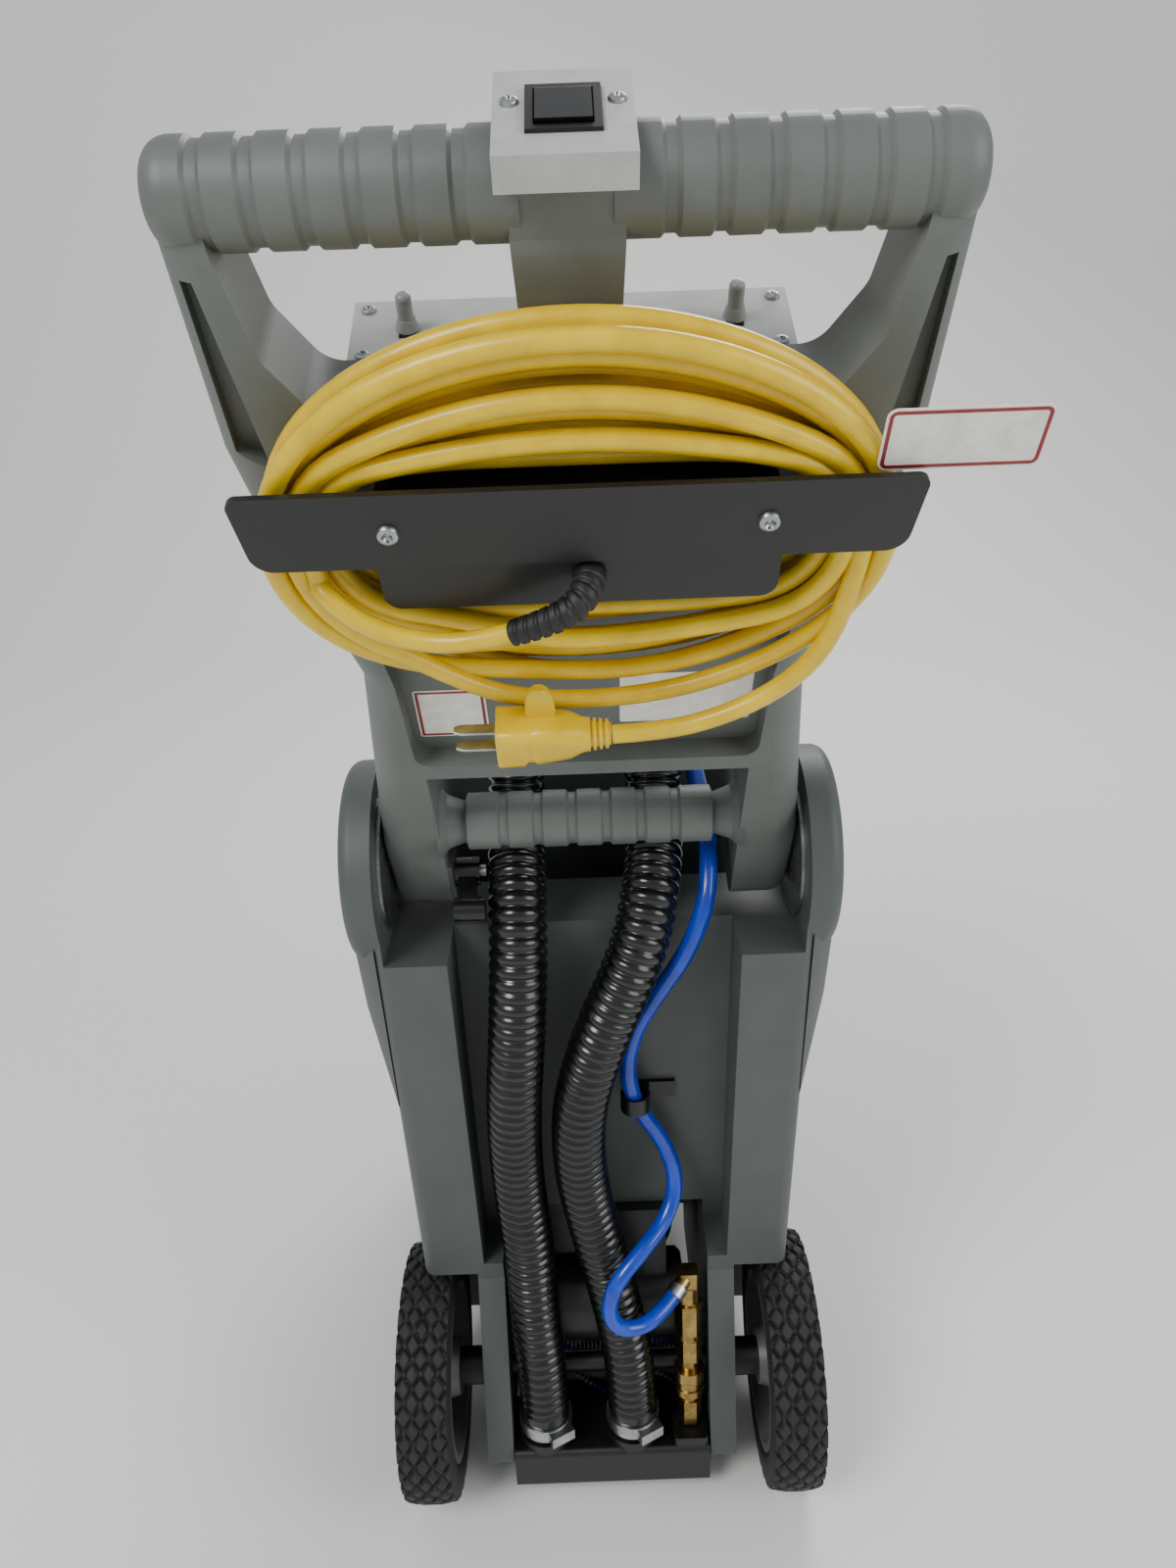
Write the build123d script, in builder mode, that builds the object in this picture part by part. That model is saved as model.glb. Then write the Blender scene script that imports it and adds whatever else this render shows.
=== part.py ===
from build123d import *
import math
import os

# Compact walk-behind carpet extractor. Millimetres, +Z up, +Y towards the front of the machine,
# -Y towards the operator. Origin on the floor, under the middle of the machine.

os.makedirs("parts", exist_ok=True)


def save(solid, name):
    """Label one finished piece and write it as a STEP file of the same name."""
    solid.label = name
    export_step(solid, f"parts/{name}.step")


# ---------------------------------------------------------------- driving dimensions

HALF_LENGTH = 350.6          # from the middle to the switch cover's rear, and to the nose

# main body
BODY_HALF_W = 144.0
LEG_OUT = 102.0              # outer face of the legs between the wheels
BAY_HALF_W = 81.0            # machine bay between the legs
CHANNEL_HALF_W = 96.0        # hose channel down the back
WALL = 6.0
LEG_BOTTOM = 42.0
BAY_TOP = 246.0
BAY_FRONT = 110.0
DECK_Z = 437.0               # the recovery tank stands here
RIM_Z = 532.0                # top of the back wall, between the ears
FLOOR_FRONT_Z = 108.0        # underside above the casters
TRAY_BACK = -40.0            # the tray that the recovery tank stands in
TRAY_FRONT = 215.0
DUCT_Y = 60.0                # vacuum duct from the motor up to the recovery tank
DUCT_R = 18.0
FILL_Y = 268.0               # fill neck of the water tank
FILL_R = 20.0
FILL_TOP = 466.0

# handle pivot and handle frame, in handle coordinates: u across, w up the handle, n to the rear
PIVOT_Y = -89.0
PIVOT_Z = 580.0
LEAN = 29.0                  # degrees back from upright at rest
EAR_R = 68.0
EAR_IN = 137.5
EAR_OUT = 159.0
ARM_IN = 95.0
ARM_OUT = 135.0
HALF_DEPTH = 20.0            # the frame is 40 mm deep
GRIP_W = 454.0               # grip axis above the pivot
GRIP_R = 20.0
GRIP_HALF = 153.0
BAR_W = 42.0                 # lifting bar axis above the pivot
BAR_R = 18.5
WEB_LOW = 116.0
LOOP_LOW = 370.0             # bottom of the two hand openings
STEM_HALF = 21.0

HANDLE = Plane(
    origin=(0, PIVOT_Y, PIVOT_Z),
    x_dir=(1, 0, 0),
    z_dir=(0, -math.cos(math.radians(LEAN)), -math.sin(math.radians(LEAN))),
)

# wheels
WHEEL_R = 100.0
WHEEL_W = 42.0
WHEEL_X = 145.0
AXLE_Y = -100.0
AXLE_Z = WHEEL_R
AXLE_R = 8.0
FIT = 0.05                   # radial running clearance

# ---------------------------------------------------------------- main body

# side outline of the body, from the rear foot of the legs round to the front underside
SIDE_OUTLINE = [
    (-152, LEG_BOTTOM),
    (-108, 208),
    (PIVOT_Y - EAR_R + 2, PIVOT_Z),
    (PIVOT_Y + EAR_R - 2, PIVOT_Z),
    (-8, 500),
    (14, 472),
    (FILL_Y + 30, 452),
    (HALF_LENGTH, 392),
    (HALF_LENGTH, 160),
    (HALF_LENGTH - 22, FLOOR_FRONT_Z),
    (BAY_FRONT + 20, FLOOR_FRONT_Z),
    (BAY_FRONT - 10, LEG_BOTTOM),
]


def side_prism(points, low_x, high_x):
    """A prism across the machine, from a closed outline given as (y, z)."""
    with BuildPart() as prism:
        with BuildSketch(Plane.YZ.offset(low_x)):
            with BuildLine():
                Polyline(*points, close=True)
            make_face()
        extrude(amount=high_x - low_x)
    return prism.part


def block(low, high):
    """An axis-aligned box from its low corner to its high corner."""
    size = [b - a for a, b in zip(low, high)]
    middle = [(a + b) / 2 for a, b in zip(low, high)]
    return Pos(*middle) * Box(*size, mode=Mode.PRIVATE)


with BuildPart() as solution_tank:
    with BuildSketch(Plane.YZ.offset(-BODY_HALF_W)) as side:
        with BuildLine():
            Polyline(*SIDE_OUTLINE, close=True)
        make_face()
        fillet(side.vertices().group_by(Axis.Y)[0], radius=6)
        fillet(side.vertices().sort_by(Axis.X)[-4:], radius=14)
    extrude(amount=2 * BODY_HALF_W)
    fillet(solution_tank.faces().filter_by(Axis.X).edges(), radius=10)
    # ears round the handle pivot, a little proud of the sides, with a rib below
    for sign in (-1, 1):
        with BuildSketch(Plane.XY.offset(PIVOT_Z)) as ear:
            with BuildLine():
                Polyline(
                    (sign * EAR_IN, PIVOT_Y),
                    (sign * EAR_OUT, PIVOT_Y),
                    (sign * EAR_OUT, PIVOT_Y + EAR_R),
                    (sign * EAR_IN, PIVOT_Y + EAR_R),
                    close=True,
                )
            make_face()
            fillet(ear.vertices().group_by(Axis.Y)[-1].group_by(Axis.X)[-1 if sign > 0 else 0], radius=9)
        revolve(axis=Axis((0, PIVOT_Y, PIVOT_Z), (1, 0, 0)))
        with BuildSketch(Plane.YZ.offset(sign * (BODY_HALF_W - 1))) as rib_foot:
            with BuildLine():
                Polyline((-152, 576), (-26, 576), (-44, 440), (-128, 400), close=True)
            make_face()
        with BuildSketch(Plane.YZ.offset(sign * (EAR_OUT - 1))) as rib_crest:
            with BuildLine():
                Polyline((-142, 576), (-36, 576), (-64, 500), (-118, 480), close=True)
            make_face()
        loft()
    # open space between the ears, and the tray for the recovery tank
    with BuildSketch(Plane.XY.offset(RIM_Z)):
        with Locations((0, PIVOT_Y)):
            Rectangle(2 * EAR_IN, 190)
    extrude(amount=200, mode=Mode.SUBTRACT)
    with BuildSketch(Plane.XY.offset(DECK_Z)):
        with Locations((0, (TRAY_BACK + TRAY_FRONT) / 2)):
            RectangleRounded(262, TRAY_FRONT - TRAY_BACK, 24)
    extrude(amount=300, mode=Mode.SUBTRACT)
    # hose channel down the back, leaning forwards towards the rim
    add(
        side_prism([(-300, BAY_TOP - 20), (-68, BAY_TOP - 20), (-106, 600), (-300, 600)],
                   -CHANNEL_HALF_W, CHANNEL_HALF_W),
        mode=Mode.SUBTRACT,
    )
    # machine bay, open to the back and to the floor
    add(
        block((-BAY_HALF_W, -300, 0), (BAY_HALF_W, BAY_FRONT, BAY_TOP)),
        mode=Mode.SUBTRACT,
    )
    # wheel arches outside the legs
    for sign in (-1, 1):
        with BuildSketch(Plane.YZ.offset(sign * LEG_OUT)) as arch:
            with BuildLine():
                Polyline(
                    (-320, -10),
                    (-320, 214),
                    (AXLE_Y + 70, 214),
                    (AXLE_Y + WHEEL_R + 12, 150),
                    (AXLE_Y + WHEEL_R + 12, -10),
                    close=True,
                )
            make_face()
            fillet(arch.vertices().filter_by(lambda v: v.Z > 100 and v.Y > -300), radius=30)
        extrude(amount=sign * 80, mode=Mode.SUBTRACT)
    # water space, front and under the deck, round the vacuum duct
    add(block((-BODY_HALF_W + WALL, BAY_FRONT + 14, FLOOR_FRONT_Z + WALL),
              (BODY_HALF_W - WALL, HALF_LENGTH - WALL - 6, 395)), mode=Mode.SUBTRACT)
    add(block((-BODY_HALF_W + WALL, BAY_FRONT + 14, 390),
              (BODY_HALF_W - WALL, FILL_Y + 5, DECK_Z - WALL)), mode=Mode.SUBTRACT)
    add(block((-BODY_HALF_W + WALL, -54, BAY_TOP + 12),
              (BODY_HALF_W - WALL, BAY_FRONT + 14, DECK_Z - WALL)), mode=Mode.SUBTRACT)
    for sign in (-1, 1):
        add(block((sign * 113 - 25, 20, FLOOR_FRONT_Z + WALL), (sign * 113 + 25, BAY_FRONT + 20, 300)),
            mode=Mode.SUBTRACT)
        add(side_prism([(-104, 222), (-50, 222), (-50, RIM_Z - 40), (-132, RIM_Z - 40)],
                       sign * 120 - 18, sign * 120 + 18), mode=Mode.SUBTRACT)
    with BuildSketch(Plane.XY.offset(BAY_TOP)):
        with Locations((0, DUCT_Y)):
            Circle(DUCT_R + 8)
    extrude(amount=DECK_Z - BAY_TOP)
    with BuildSketch(Plane.XY.offset(BAY_TOP - 1)):
        with Locations((0, DUCT_Y)):
            Circle(DUCT_R)
    extrude(amount=DECK_Z - BAY_TOP + 2, mode=Mode.SUBTRACT)
    # fill neck on the front shoulder
    with BuildSketch(Plane.XY.offset(DECK_Z - WALL - 1)):
        with Locations((0, FILL_Y)):
            Circle(FILL_R + 5)
    extrude(amount=FILL_TOP - DECK_Z + WALL + 1)
    with BuildSketch(Plane.XY.offset(DECK_Z - WALL - 2)):
        with Locations((0, FILL_Y)):
            Circle(FILL_R)
    extrude(amount=60, mode=Mode.SUBTRACT)
    # axle, pivot and drain holes
    with BuildSketch(Plane.YZ.offset(-LEG_OUT - 1)):
        with Locations((AXLE_Y, AXLE_Z)):
            Circle(AXLE_R + FIT)
    extrude(amount=2 * LEG_OUT + 2, mode=Mode.SUBTRACT)
    with BuildSketch(Plane.YZ.offset(-EAR_OUT - 1)):
        with Locations((PIVOT_Y, PIVOT_Z)):
            Circle(6.05)
    extrude(amount=2 * EAR_OUT + 2, mode=Mode.SUBTRACT)
save(solution_tank.part, "solution_tank")

# ---------------------------------------------------------------- tank, dome and lid

TANK_BACK = 8.0
TANK_FRONT = 211.0
TANK_HALF_W = 126.0
TANK_RIM = 610.0
DOME_TOP = 722.0
DOME_WALL = 4.0
LID_R = 62.0
LID_Y = 118.0
TANK_Y = (TANK_BACK + TANK_FRONT) / 2
TANK_LENGTH = TANK_FRONT - TANK_BACK
HOSE_R = 20.0
HOSE_BORE = 16.0
INLET_Z = 694.0
LEFT_INLET_X = -50.0
RIGHT_INLET_X = 46.0

with BuildPart() as recovery_tank:
    with BuildSketch(Plane.XY.offset(DECK_Z)):
        with Locations((0, TANK_Y)):
            RectangleRounded(2 * TANK_HALF_W - 6, TANK_LENGTH - 4, 24)
    extrude(amount=TANK_RIM - DECK_Z)
    with BuildSketch(Plane.XY.offset(DECK_Z + 5)):
        with Locations((0, TANK_Y)):
            RectangleRounded(2 * TANK_HALF_W - 18, TANK_LENGTH - 16, 18)
    extrude(amount=TANK_RIM, mode=Mode.SUBTRACT)
    # hole for the standpipe over the vacuum duct
    with BuildSketch(Plane.XY.offset(DECK_Z - 1)):
        with Locations((0, DUCT_Y)):
            Circle(DUCT_R)
    extrude(amount=10, mode=Mode.SUBTRACT)
    # rolled rim
    with BuildSketch(Plane.XY.offset(TANK_RIM - 8)):
        with Locations((0, TANK_Y)):
            RectangleRounded(2 * TANK_HALF_W, TANK_LENGTH, 26)
            RectangleRounded(2 * TANK_HALF_W - 17, TANK_LENGTH - 15, 18, mode=Mode.SUBTRACT)
    extrude(amount=8)
save(recovery_tank.part, "recovery_tank")

with BuildPart() as dome_gasket:
    with BuildSketch(Plane.XY.offset(TANK_RIM)):
        with Locations((0, TANK_Y)):
            RectangleRounded(2 * TANK_HALF_W - 2, TANK_LENGTH - 2, 25)
            RectangleRounded(2 * TANK_HALF_W - 16, TANK_LENGTH - 16, 18, mode=Mode.SUBTRACT)
    extrude(amount=3)
save(dome_gasket.part, "dome_gasket")

DOME_BASE = TANK_RIM + 3


def dome_solid(inset):
    """The dome as a solid loft, drawn in from its outer face by the inset."""
    with BuildPart() as solid:
        with BuildSketch(Plane.XY.offset(DOME_BASE)):
            with Locations((0, TANK_Y)):
                RectangleRounded(2 * (TANK_HALF_W - 6 - inset), TANK_LENGTH - 4 - 2 * inset, 22 - inset)
        with BuildSketch(Plane.XY.offset(DOME_TOP - inset)):
            with Locations((0, TANK_Y + 6)):
                RectangleRounded(2 * (TANK_HALF_W - 24 - inset), TANK_LENGTH - 26 - 2 * inset, 30 - inset)
        loft()
        fillet(solid.faces().sort_by(Axis.Z)[-1].edges(), radius=14 - inset)
    return solid.part


outer_dome = dome_solid(0)
inner_dome = dome_solid(DOME_WALL)

with BuildPart() as dome:
    add(outer_dome)
    with BuildSketch(Plane.XY.offset(DOME_BASE)):
        with Locations((0, TANK_Y)):
            RectangleRounded(2 * TANK_HALF_W, TANK_LENGTH, 26)
    extrude(amount=5)
    # inlet bosses for the two hoses
    with BuildSketch(Plane.XZ.offset(-TANK_BACK - 22)):
        with Locations((LEFT_INLET_X, INLET_Z), (RIGHT_INLET_X, INLET_Z)):
            Circle(HOSE_BORE + 3)
    extrude(amount=18)
    add(inner_dome, mode=Mode.SUBTRACT)
    with BuildSketch(Plane.XZ.offset(-TANK_BACK - 60)):
        with Locations((LEFT_INLET_X, INLET_Z), (RIGHT_INLET_X, INLET_Z)):
            Circle(HOSE_BORE)
    extrude(amount=80, mode=Mode.SUBTRACT)
    # round access opening with a raised neck
    with BuildSketch(Plane.XY.offset(DOME_TOP - 3)):
        with Locations((0, LID_Y)):
            Circle(LID_R - 4)
    extrude(amount=9)
    with BuildSketch(Plane.XY.offset(DOME_TOP - 40)):
        with Locations((0, LID_Y)):
            Circle(LID_R - 8)
    extrude(amount=60, mode=Mode.SUBTRACT)
save(dome.part, "dome")

# ---------------------------------------------------------------- handle frame

def mirrored(points):
    """Close a right-hand half outline by adding its mirror image."""
    return points + [(-u, w) for u, w in reversed(points)]


def ribbed_profile(start, end, ribs, radius, groove, pitch, crest):
    """Half profile of a ribbed grip along u, as (u, radius) points with shallow grooves."""
    points = [(start, 0), (start, radius)]
    first = (start + end) / 2 - (ribs - 1) * pitch / 2
    for index in range(ribs - 1):
        middle = first + (index + 0.5) * pitch
        half = (pitch - crest) / 2
        points += [
            (middle - half - 1.2, radius),
            (middle - half + 0.4, radius - groove),
            (middle + half - 0.4, radius - groove),
            (middle + half + 1.2, radius),
        ]
    return points + [(end, radius), (end, 0)]


HALF_FRONT = [
    (ARM_IN, WEB_LOW),
    (ARM_IN, -38),
    (ARM_OUT, -38),
    (ARM_OUT, 30),
    (119, 199),
    (146, 305),
    (GRIP_HALF, 350),
    (GRIP_HALF, GRIP_W),
]

with BuildPart() as handle_frame:
    with BuildSketch(HANDLE.offset(-HALF_DEPTH)) as front:
        with BuildLine():
            Polyline(*mirrored(HALF_FRONT), close=True)
        make_face()
        fillet(front.vertices().filter_by(lambda v: abs(v.X) > 100), radius=12)
    extrude(amount=2 * HALF_DEPTH)
    # round the arm ends about the pivot axis
    fillet(
        handle_frame.edges().filter_by(Axis.X).group_by(Axis.Z)[0],
        radius=17,
    )
    # hand openings either side of the centre stem
    with BuildSketch(HANDLE.offset(-50)) as openings:
        for sign in (-1, 1):
            with BuildLine():
                Polyline(
                    (sign * (STEM_HALF - 3), LOOP_LOW),
                    (sign * (STEM_HALF + 1), GRIP_W),
                    (sign * 134, GRIP_W),
                    (sign * 124, LOOP_LOW + 28),
                    (sign * 106, LOOP_LOW),
                    close=True,
                )
            make_face()
        fillet(openings.vertices().filter_by(lambda v: abs(v.X) > 100 and v.Y < LOOP_LOW + 40), radius=16)
    extrude(amount=100, mode=Mode.SUBTRACT)
    # shallow recess in the rear of the web, between the arm flanges
    with BuildSketch(HANDLE.offset(6)) as recess:
        with BuildLine():
            Polyline(*mirrored([(99, WEB_LOW + 12), (101, 199), (114, 290), (120, 356)]), close=True)
        make_face()
        fillet(recess.vertices(), radius=10)
    extrude(amount=30, mode=Mode.SUBTRACT)
    # recess in the front of the web, where the control box sits
    with BuildSketch(HANDLE.offset(-6)):
        with Locations((0, 243)):
            RectangleRounded(2 * 92, 220, 12)
    extrude(amount=-30, mode=Mode.SUBTRACT)
    # slots between the outer web and the inner flange of the side arms
    for sign in (-1, 1):
        with BuildSketch(HANDLE.offset(10)) as slot:
            with BuildLine():
                Polyline(
                    (sign * 131, 345),
                    (sign * 145, 353),
                    (sign * 146, 431),
                    (sign * 141, 431),
                    close=True,
                )
            make_face()
        extrude(amount=20, mode=Mode.SUBTRACT)
    # the two hand grips, turned about the grip axis
    with BuildSketch(HANDLE) as grip:
        for low, high in ((-GRIP_HALF, -STEM_HALF + 4), (STEM_HALF - 4, GRIP_HALF)):
            with BuildLine():
                profile = ribbed_profile(low, high, 7, GRIP_R, 1.6, 18.8, 14.0)
                Polyline(*[(u, GRIP_W + r) for u, r in profile], close=True)
            make_face()
        fillet(grip.vertices().filter_by(lambda v: abs(v.X) > GRIP_HALF - 1 and v.Y > GRIP_W + 5), radius=11)
    grip_axis = Axis((0, PIVOT_Y - GRIP_W * math.sin(math.radians(LEAN)),
                      PIVOT_Z + GRIP_W * math.cos(math.radians(LEAN))), (1, 0, 0))
    revolve(axis=grip_axis)
    # centre stem, tapering down from the switch
    with BuildSketch(HANDLE.offset(-19)) as stem:
        with BuildLine():
            Polyline(*mirrored([(STEM_HALF - 3, LOOP_LOW - 10), (STEM_HALF + 1, GRIP_W + 18)]), close=True)
        make_face()
    extrude(amount=38)
    # lifting bar between the arms, ribbed in its middle
    with BuildSketch(HANDLE) as bar:
        with BuildLine():
            middle = ribbed_profile(-78, 78, 7, BAR_R, 1.8, 22.0, 17.0)
            necks = [(-ARM_IN - 2, 0), (-ARM_IN - 2, BAR_R + 5), (-ARM_IN + 4, BAR_R - 1), (-80, BAR_R - 5)]
            flare = [(-u, r) for u, r in reversed(necks)]
            Polyline(*[(u, BAR_W + r) for u, r in necks + middle[1:-1] + flare], close=True)
        make_face()
    bar_axis = Axis((0, PIVOT_Y - BAR_W * math.sin(math.radians(LEAN)),
                     PIVOT_Z + BAR_W * math.cos(math.radians(LEAN))), (1, 0, 0))
    revolve(axis=bar_axis)
    # pivot bolt holes
    with BuildSketch(Plane.YZ.offset(-ARM_OUT - 5)):
        with Locations((PIVOT_Y, PIVOT_Z)):
            Circle(6.0)
    extrude(amount=2 * ARM_OUT + 10, mode=Mode.SUBTRACT)
save(handle_frame.part, "handle_frame")

# ---------------------------------------------------------------- wheels and axle

TREAD_DEPTH = 2.5
HUB_HALF = 24.0


def turned(points, axis_point):
    """A solid turned about the X direction from (x, radius) points."""
    y, z = axis_point
    with BuildPart() as solid:
        with BuildSketch(Plane.XY.offset(z)):
            with BuildLine():
                Polyline(*[(x, y + r) for x, r in points], close=True)
            make_face()
        revolve(axis=Axis((0, y, z), (1, 0, 0)))
    return solid.part


AXLE_CENTRE = (AXLE_Y, AXLE_Z)
for side, sign in (("left", -1), ("right", 1)):
    half = WHEEL_W / 2
    shoulder = [(-half, 72), (-half, 86), (-half + 6, 95), (-half + 14, WHEEL_R)]
    tyre_profile = shoulder + [(-x, r) for x, r in reversed(shoulder)]
    with BuildPart() as tyre:
        add(turned([(sign * WHEEL_X + x, r) for x, r in tyre_profile], AXLE_CENTRE))
    save(tyre.part, f"{side}_tyre")
    with BuildPart() as wheel:
        add(turned([(sign * WHEEL_X + x, r) for x, r in (
            (-half + 1, 72), (-half + 1, 66), (-6, 60), (-6, 26), (-HUB_HALF + 3, 22), (-HUB_HALF + 3, AXLE_R + FIT),
            (HUB_HALF - 3, AXLE_R + FIT), (HUB_HALF - 3, 22), (6, 26), (6, 60), (half - 1, 66), (half - 1, 72),
        )], AXLE_CENTRE))
        # spokes windows
        with BuildSketch(Plane.YZ.offset(sign * WHEEL_X - 20)):
            with Locations(AXLE_CENTRE):
                with PolarLocations(43, 6):
                    Circle(11)
        extrude(amount=40, mode=Mode.SUBTRACT)
    save(wheel.part, f"{side}_wheel")

with BuildPart() as axle:
    with BuildSketch(Plane.YZ.offset(-WHEEL_X - HUB_HALF - 3)):
        with Locations(AXLE_CENTRE):
            Circle(AXLE_R)
    extrude(amount=2 * (WHEEL_X + HUB_HALF + 3))
    # spacers between the legs and the wheels, and the end caps
    for sign in (-1, 1):
        for radius, low, high in ((15, LEG_OUT + 0.2, WHEEL_X - HUB_HALF + 2.6),
                                  (14, WHEEL_X + HUB_HALF - 2.6, WHEEL_X + HUB_HALF + 3)):
            with BuildSketch(Plane.YZ.offset(sign * low)):
                with Locations(AXLE_CENTRE):
                    Circle(radius)
            extrude(amount=sign * (high - low))
save(axle.part, "axle")

# ---------------------------------------------------------------- front casters

CASTER_X = 105.0
CASTER_Y = 250.0
CASTER_R = 37.5
CASTER_TRAIL = 28.0
CASTER_AXLE = (CASTER_Y - CASTER_TRAIL, CASTER_R)
KINGPIN_R = 6.0

with BuildPart() as caster_plates:
    for sign in (-1, 1):
        with BuildSketch(Plane.XY.offset(FLOOR_FRONT_Z)):
            with Locations((sign * CASTER_X, CASTER_Y)):
                RectangleRounded(58, 70, 6)
        extrude(amount=-4)
        with BuildSketch(Plane.XY.offset(FLOOR_FRONT_Z - 4)):
            with Locations((sign * CASTER_X, CASTER_Y)):
                Circle(KINGPIN_R)
        extrude(amount=-14)
        with BuildSketch(Plane.XY.offset(FLOOR_FRONT_Z - 15)):
            with Locations((sign * CASTER_X, CASTER_Y)):
                Circle(KINGPIN_R + 4)
        extrude(amount=-3)
save(caster_plates.part, "caster_plates")

for side, sign in (("left", -1), ("right", 1)):
    with BuildPart() as fork:
        with BuildSketch(Plane.XY.offset(FLOOR_FRONT_Z - 4.6)):
            with Locations((sign * CASTER_X, CASTER_Y)):
                Circle(21)
                Circle(KINGPIN_R + FIT, mode=Mode.SUBTRACT)
        extrude(amount=-9.6)
        for cheek in (-1, 1):
            add(side_prism([
                (CASTER_Y + 14, FLOOR_FRONT_Z - 5), (CASTER_Y + 14, FLOOR_FRONT_Z - 20),
                (CASTER_Y - CASTER_TRAIL + 10, CASTER_R - 10), (CASTER_Y - CASTER_TRAIL - 10, CASTER_R - 10),
                (CASTER_Y - CASTER_TRAIL - 12, CASTER_R + 8), (CASTER_Y - 16, FLOOR_FRONT_Z - 5),
            ], sign * CASTER_X + cheek * 17 - 1.5, sign * CASTER_X + cheek * 17 + 1.5))
        with BuildSketch(Plane.YZ.offset(sign * CASTER_X - 21)):
            with Locations(CASTER_AXLE):
                Circle(4)
        extrude(amount=42)
    save(fork.part, f"{side}_caster_fork")
    with BuildPart() as caster_wheel:
        add(turned([(sign * CASTER_X + x, r) for x, r in (
            (-13, 4 + FIT), (-13, 14), (-9, 16), (-12, 31), (-9, 36), (-5, CASTER_R), (5, CASTER_R), (9, 36),
            (12, 31), (9, 16), (13, 14), (13, 4 + FIT),
        )], CASTER_AXLE))
    save(caster_wheel.part, f"{side}_caster_wheel")

# ---------------------------------------------------------------- vacuum shoe, hoses and clamps

SHOE_TOP = 58.0
PORT_Y = -130.0
LEFT_PORT_X = -54.0
RIGHT_PORT_X = 18.0
HOSE_START = 66.0
COUPLER_X = 65.0
COUPLER_Y = -132.0
COUPLER_TILT = 8.0           # degrees forwards

with BuildPart() as vacuum_shoe:
    with BuildSketch(Plane.YZ.offset(-80)) as shoe_side:
        with BuildLine():
            Polyline((-153, 18), (-153, SHOE_TOP), (-96, SHOE_TOP), (-96, 30), (-118, 3), (-128, 3), (-138, 18),
                     close=True)
        make_face()
        fillet(shoe_side.vertices().group_by(Axis.Z)[-1], radius=5)
    extrude(amount=160)
    # suction slot and the space above it
    with BuildSketch(Plane.YZ.offset(-76)):
        with BuildLine():
            Polyline((-147, 22), (-147, SHOE_TOP - 5), (-102, SHOE_TOP - 5), (-102, 33), (-120.5, 2), (-125.5, 2),
                     (-135, 22), close=True)
        make_face()
    extrude(amount=152, mode=Mode.SUBTRACT)
    # ports with collars and spigots that the hoses push over
    with BuildSketch(Plane.XY.offset(SHOE_TOP - 2)):
        with Locations((LEFT_PORT_X, PORT_Y), (RIGHT_PORT_X, PORT_Y)):
            Circle(HOSE_R + 3)
    extrude(amount=HOSE_START - SHOE_TOP + 2)
    with BuildSketch(Plane.XY.offset(SHOE_TOP)):
        with Locations((LEFT_PORT_X, PORT_Y), (RIGHT_PORT_X, PORT_Y)):
            Circle(HOSE_BORE - 0.1)
    extrude(amount=28)
    with BuildSketch(Plane.XY.offset(SHOE_TOP - 8)):
        with Locations((LEFT_PORT_X, PORT_Y), (RIGHT_PORT_X, PORT_Y)):
            Circle(HOSE_BORE - 2.5)
    extrude(amount=40, mode=Mode.SUBTRACT)
    # block under the solution coupler
    with BuildSketch(Plane.XY.offset(SHOE_TOP - 1)):
        with Locations((COUPLER_X, COUPLER_Y)):
            RectangleRounded(28, 38, 4)
    extrude(amount=11)
save(vacuum_shoe.part, "vacuum_shoe")


LEFT_HOSE_ROUTE = [
    (LEFT_PORT_X, PORT_Y, HOSE_START), (LEFT_PORT_X, PORT_Y, 120), (-57, -122, 180), (-59, -111, 248),
    (-64, -114, 320), (-62, -128, 394), (-55, -136, 462), (-51, -131, 516), (-50, -116, 553), (-50, -88, 576),
    (-50, -58, 594), (-50, -38, 624), (-50, -38, 664),
]
RIGHT_HOSE_ROUTE = [
    (RIGHT_PORT_X, PORT_Y, HOSE_START), (RIGHT_PORT_X, PORT_Y, 120), (10, -121, 180), (-5, -110, 248),
    (-17, -114, 320), (-16, -127, 394), (2, -135, 462), (26, -131, 516), (38, -116, 553), (43, -88, 576),
    (45, -58, 594), (46, -38, 624), (46, -38, 664),
]
TUBE_R = 6.3
TUBE_ROUTE = [
    (52, -127, 202), (40, -140, 197), (24, -148, 193), (7, -153, 200), (0, -154, 222), (8, -150, 246),
    (28, -136, 261), (48, -116, 272), (58, -100, 296), (48, -96, 332), (28, -98, 366), (20, -104, 404), (25, -111, 444),
    (42, -118, 482), (62, -122, 516), (76, -118, 552), (80, -96, 580), (78, -62, 602), (73, -30, 626),
    (58, -8, 646), (37, 0, 652), (16, 0, 652),
]


def corner_radii(points):
    """The largest tangent arc that each inner corner of a route has room for."""
    radii = []
    for before, corner, after in zip(points, points[1:], points[2:]):
        run_in = Vector(*corner) - Vector(*before)
        run_out = Vector(*after) - Vector(*corner)
        half_turn = math.radians(run_in.get_angle(run_out) / 2)
        radii.append(0.45 * min(run_in.length, run_out.length) / math.tan(half_turn))
    return radii


def tube_along(points, radius, name, bore=0.0):
    """A round tube along straight runs joined by tangent arcs, with its radii printed."""
    radii = corner_radii(points)
    with BuildPart() as tube:
        with BuildLine():
            path = FilletPolyline(*points, radius=radii)
        with BuildSketch(Plane(origin=points[0], z_dir=path % 0)):
            Circle(radius)
            if bore:
                Circle(bore, mode=Mode.SUBTRACT)
        sweep(path=path)
    section = math.pi * (radius ** 2 - bore ** 2)
    print(f"{name}: length {path.length:.0f} mm, smallest radius {min(radii):.0f} mm,",
          f"volume / (section x length) {tube.part.volume / section / path.length:.3f}")
    return tube.part


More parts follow.
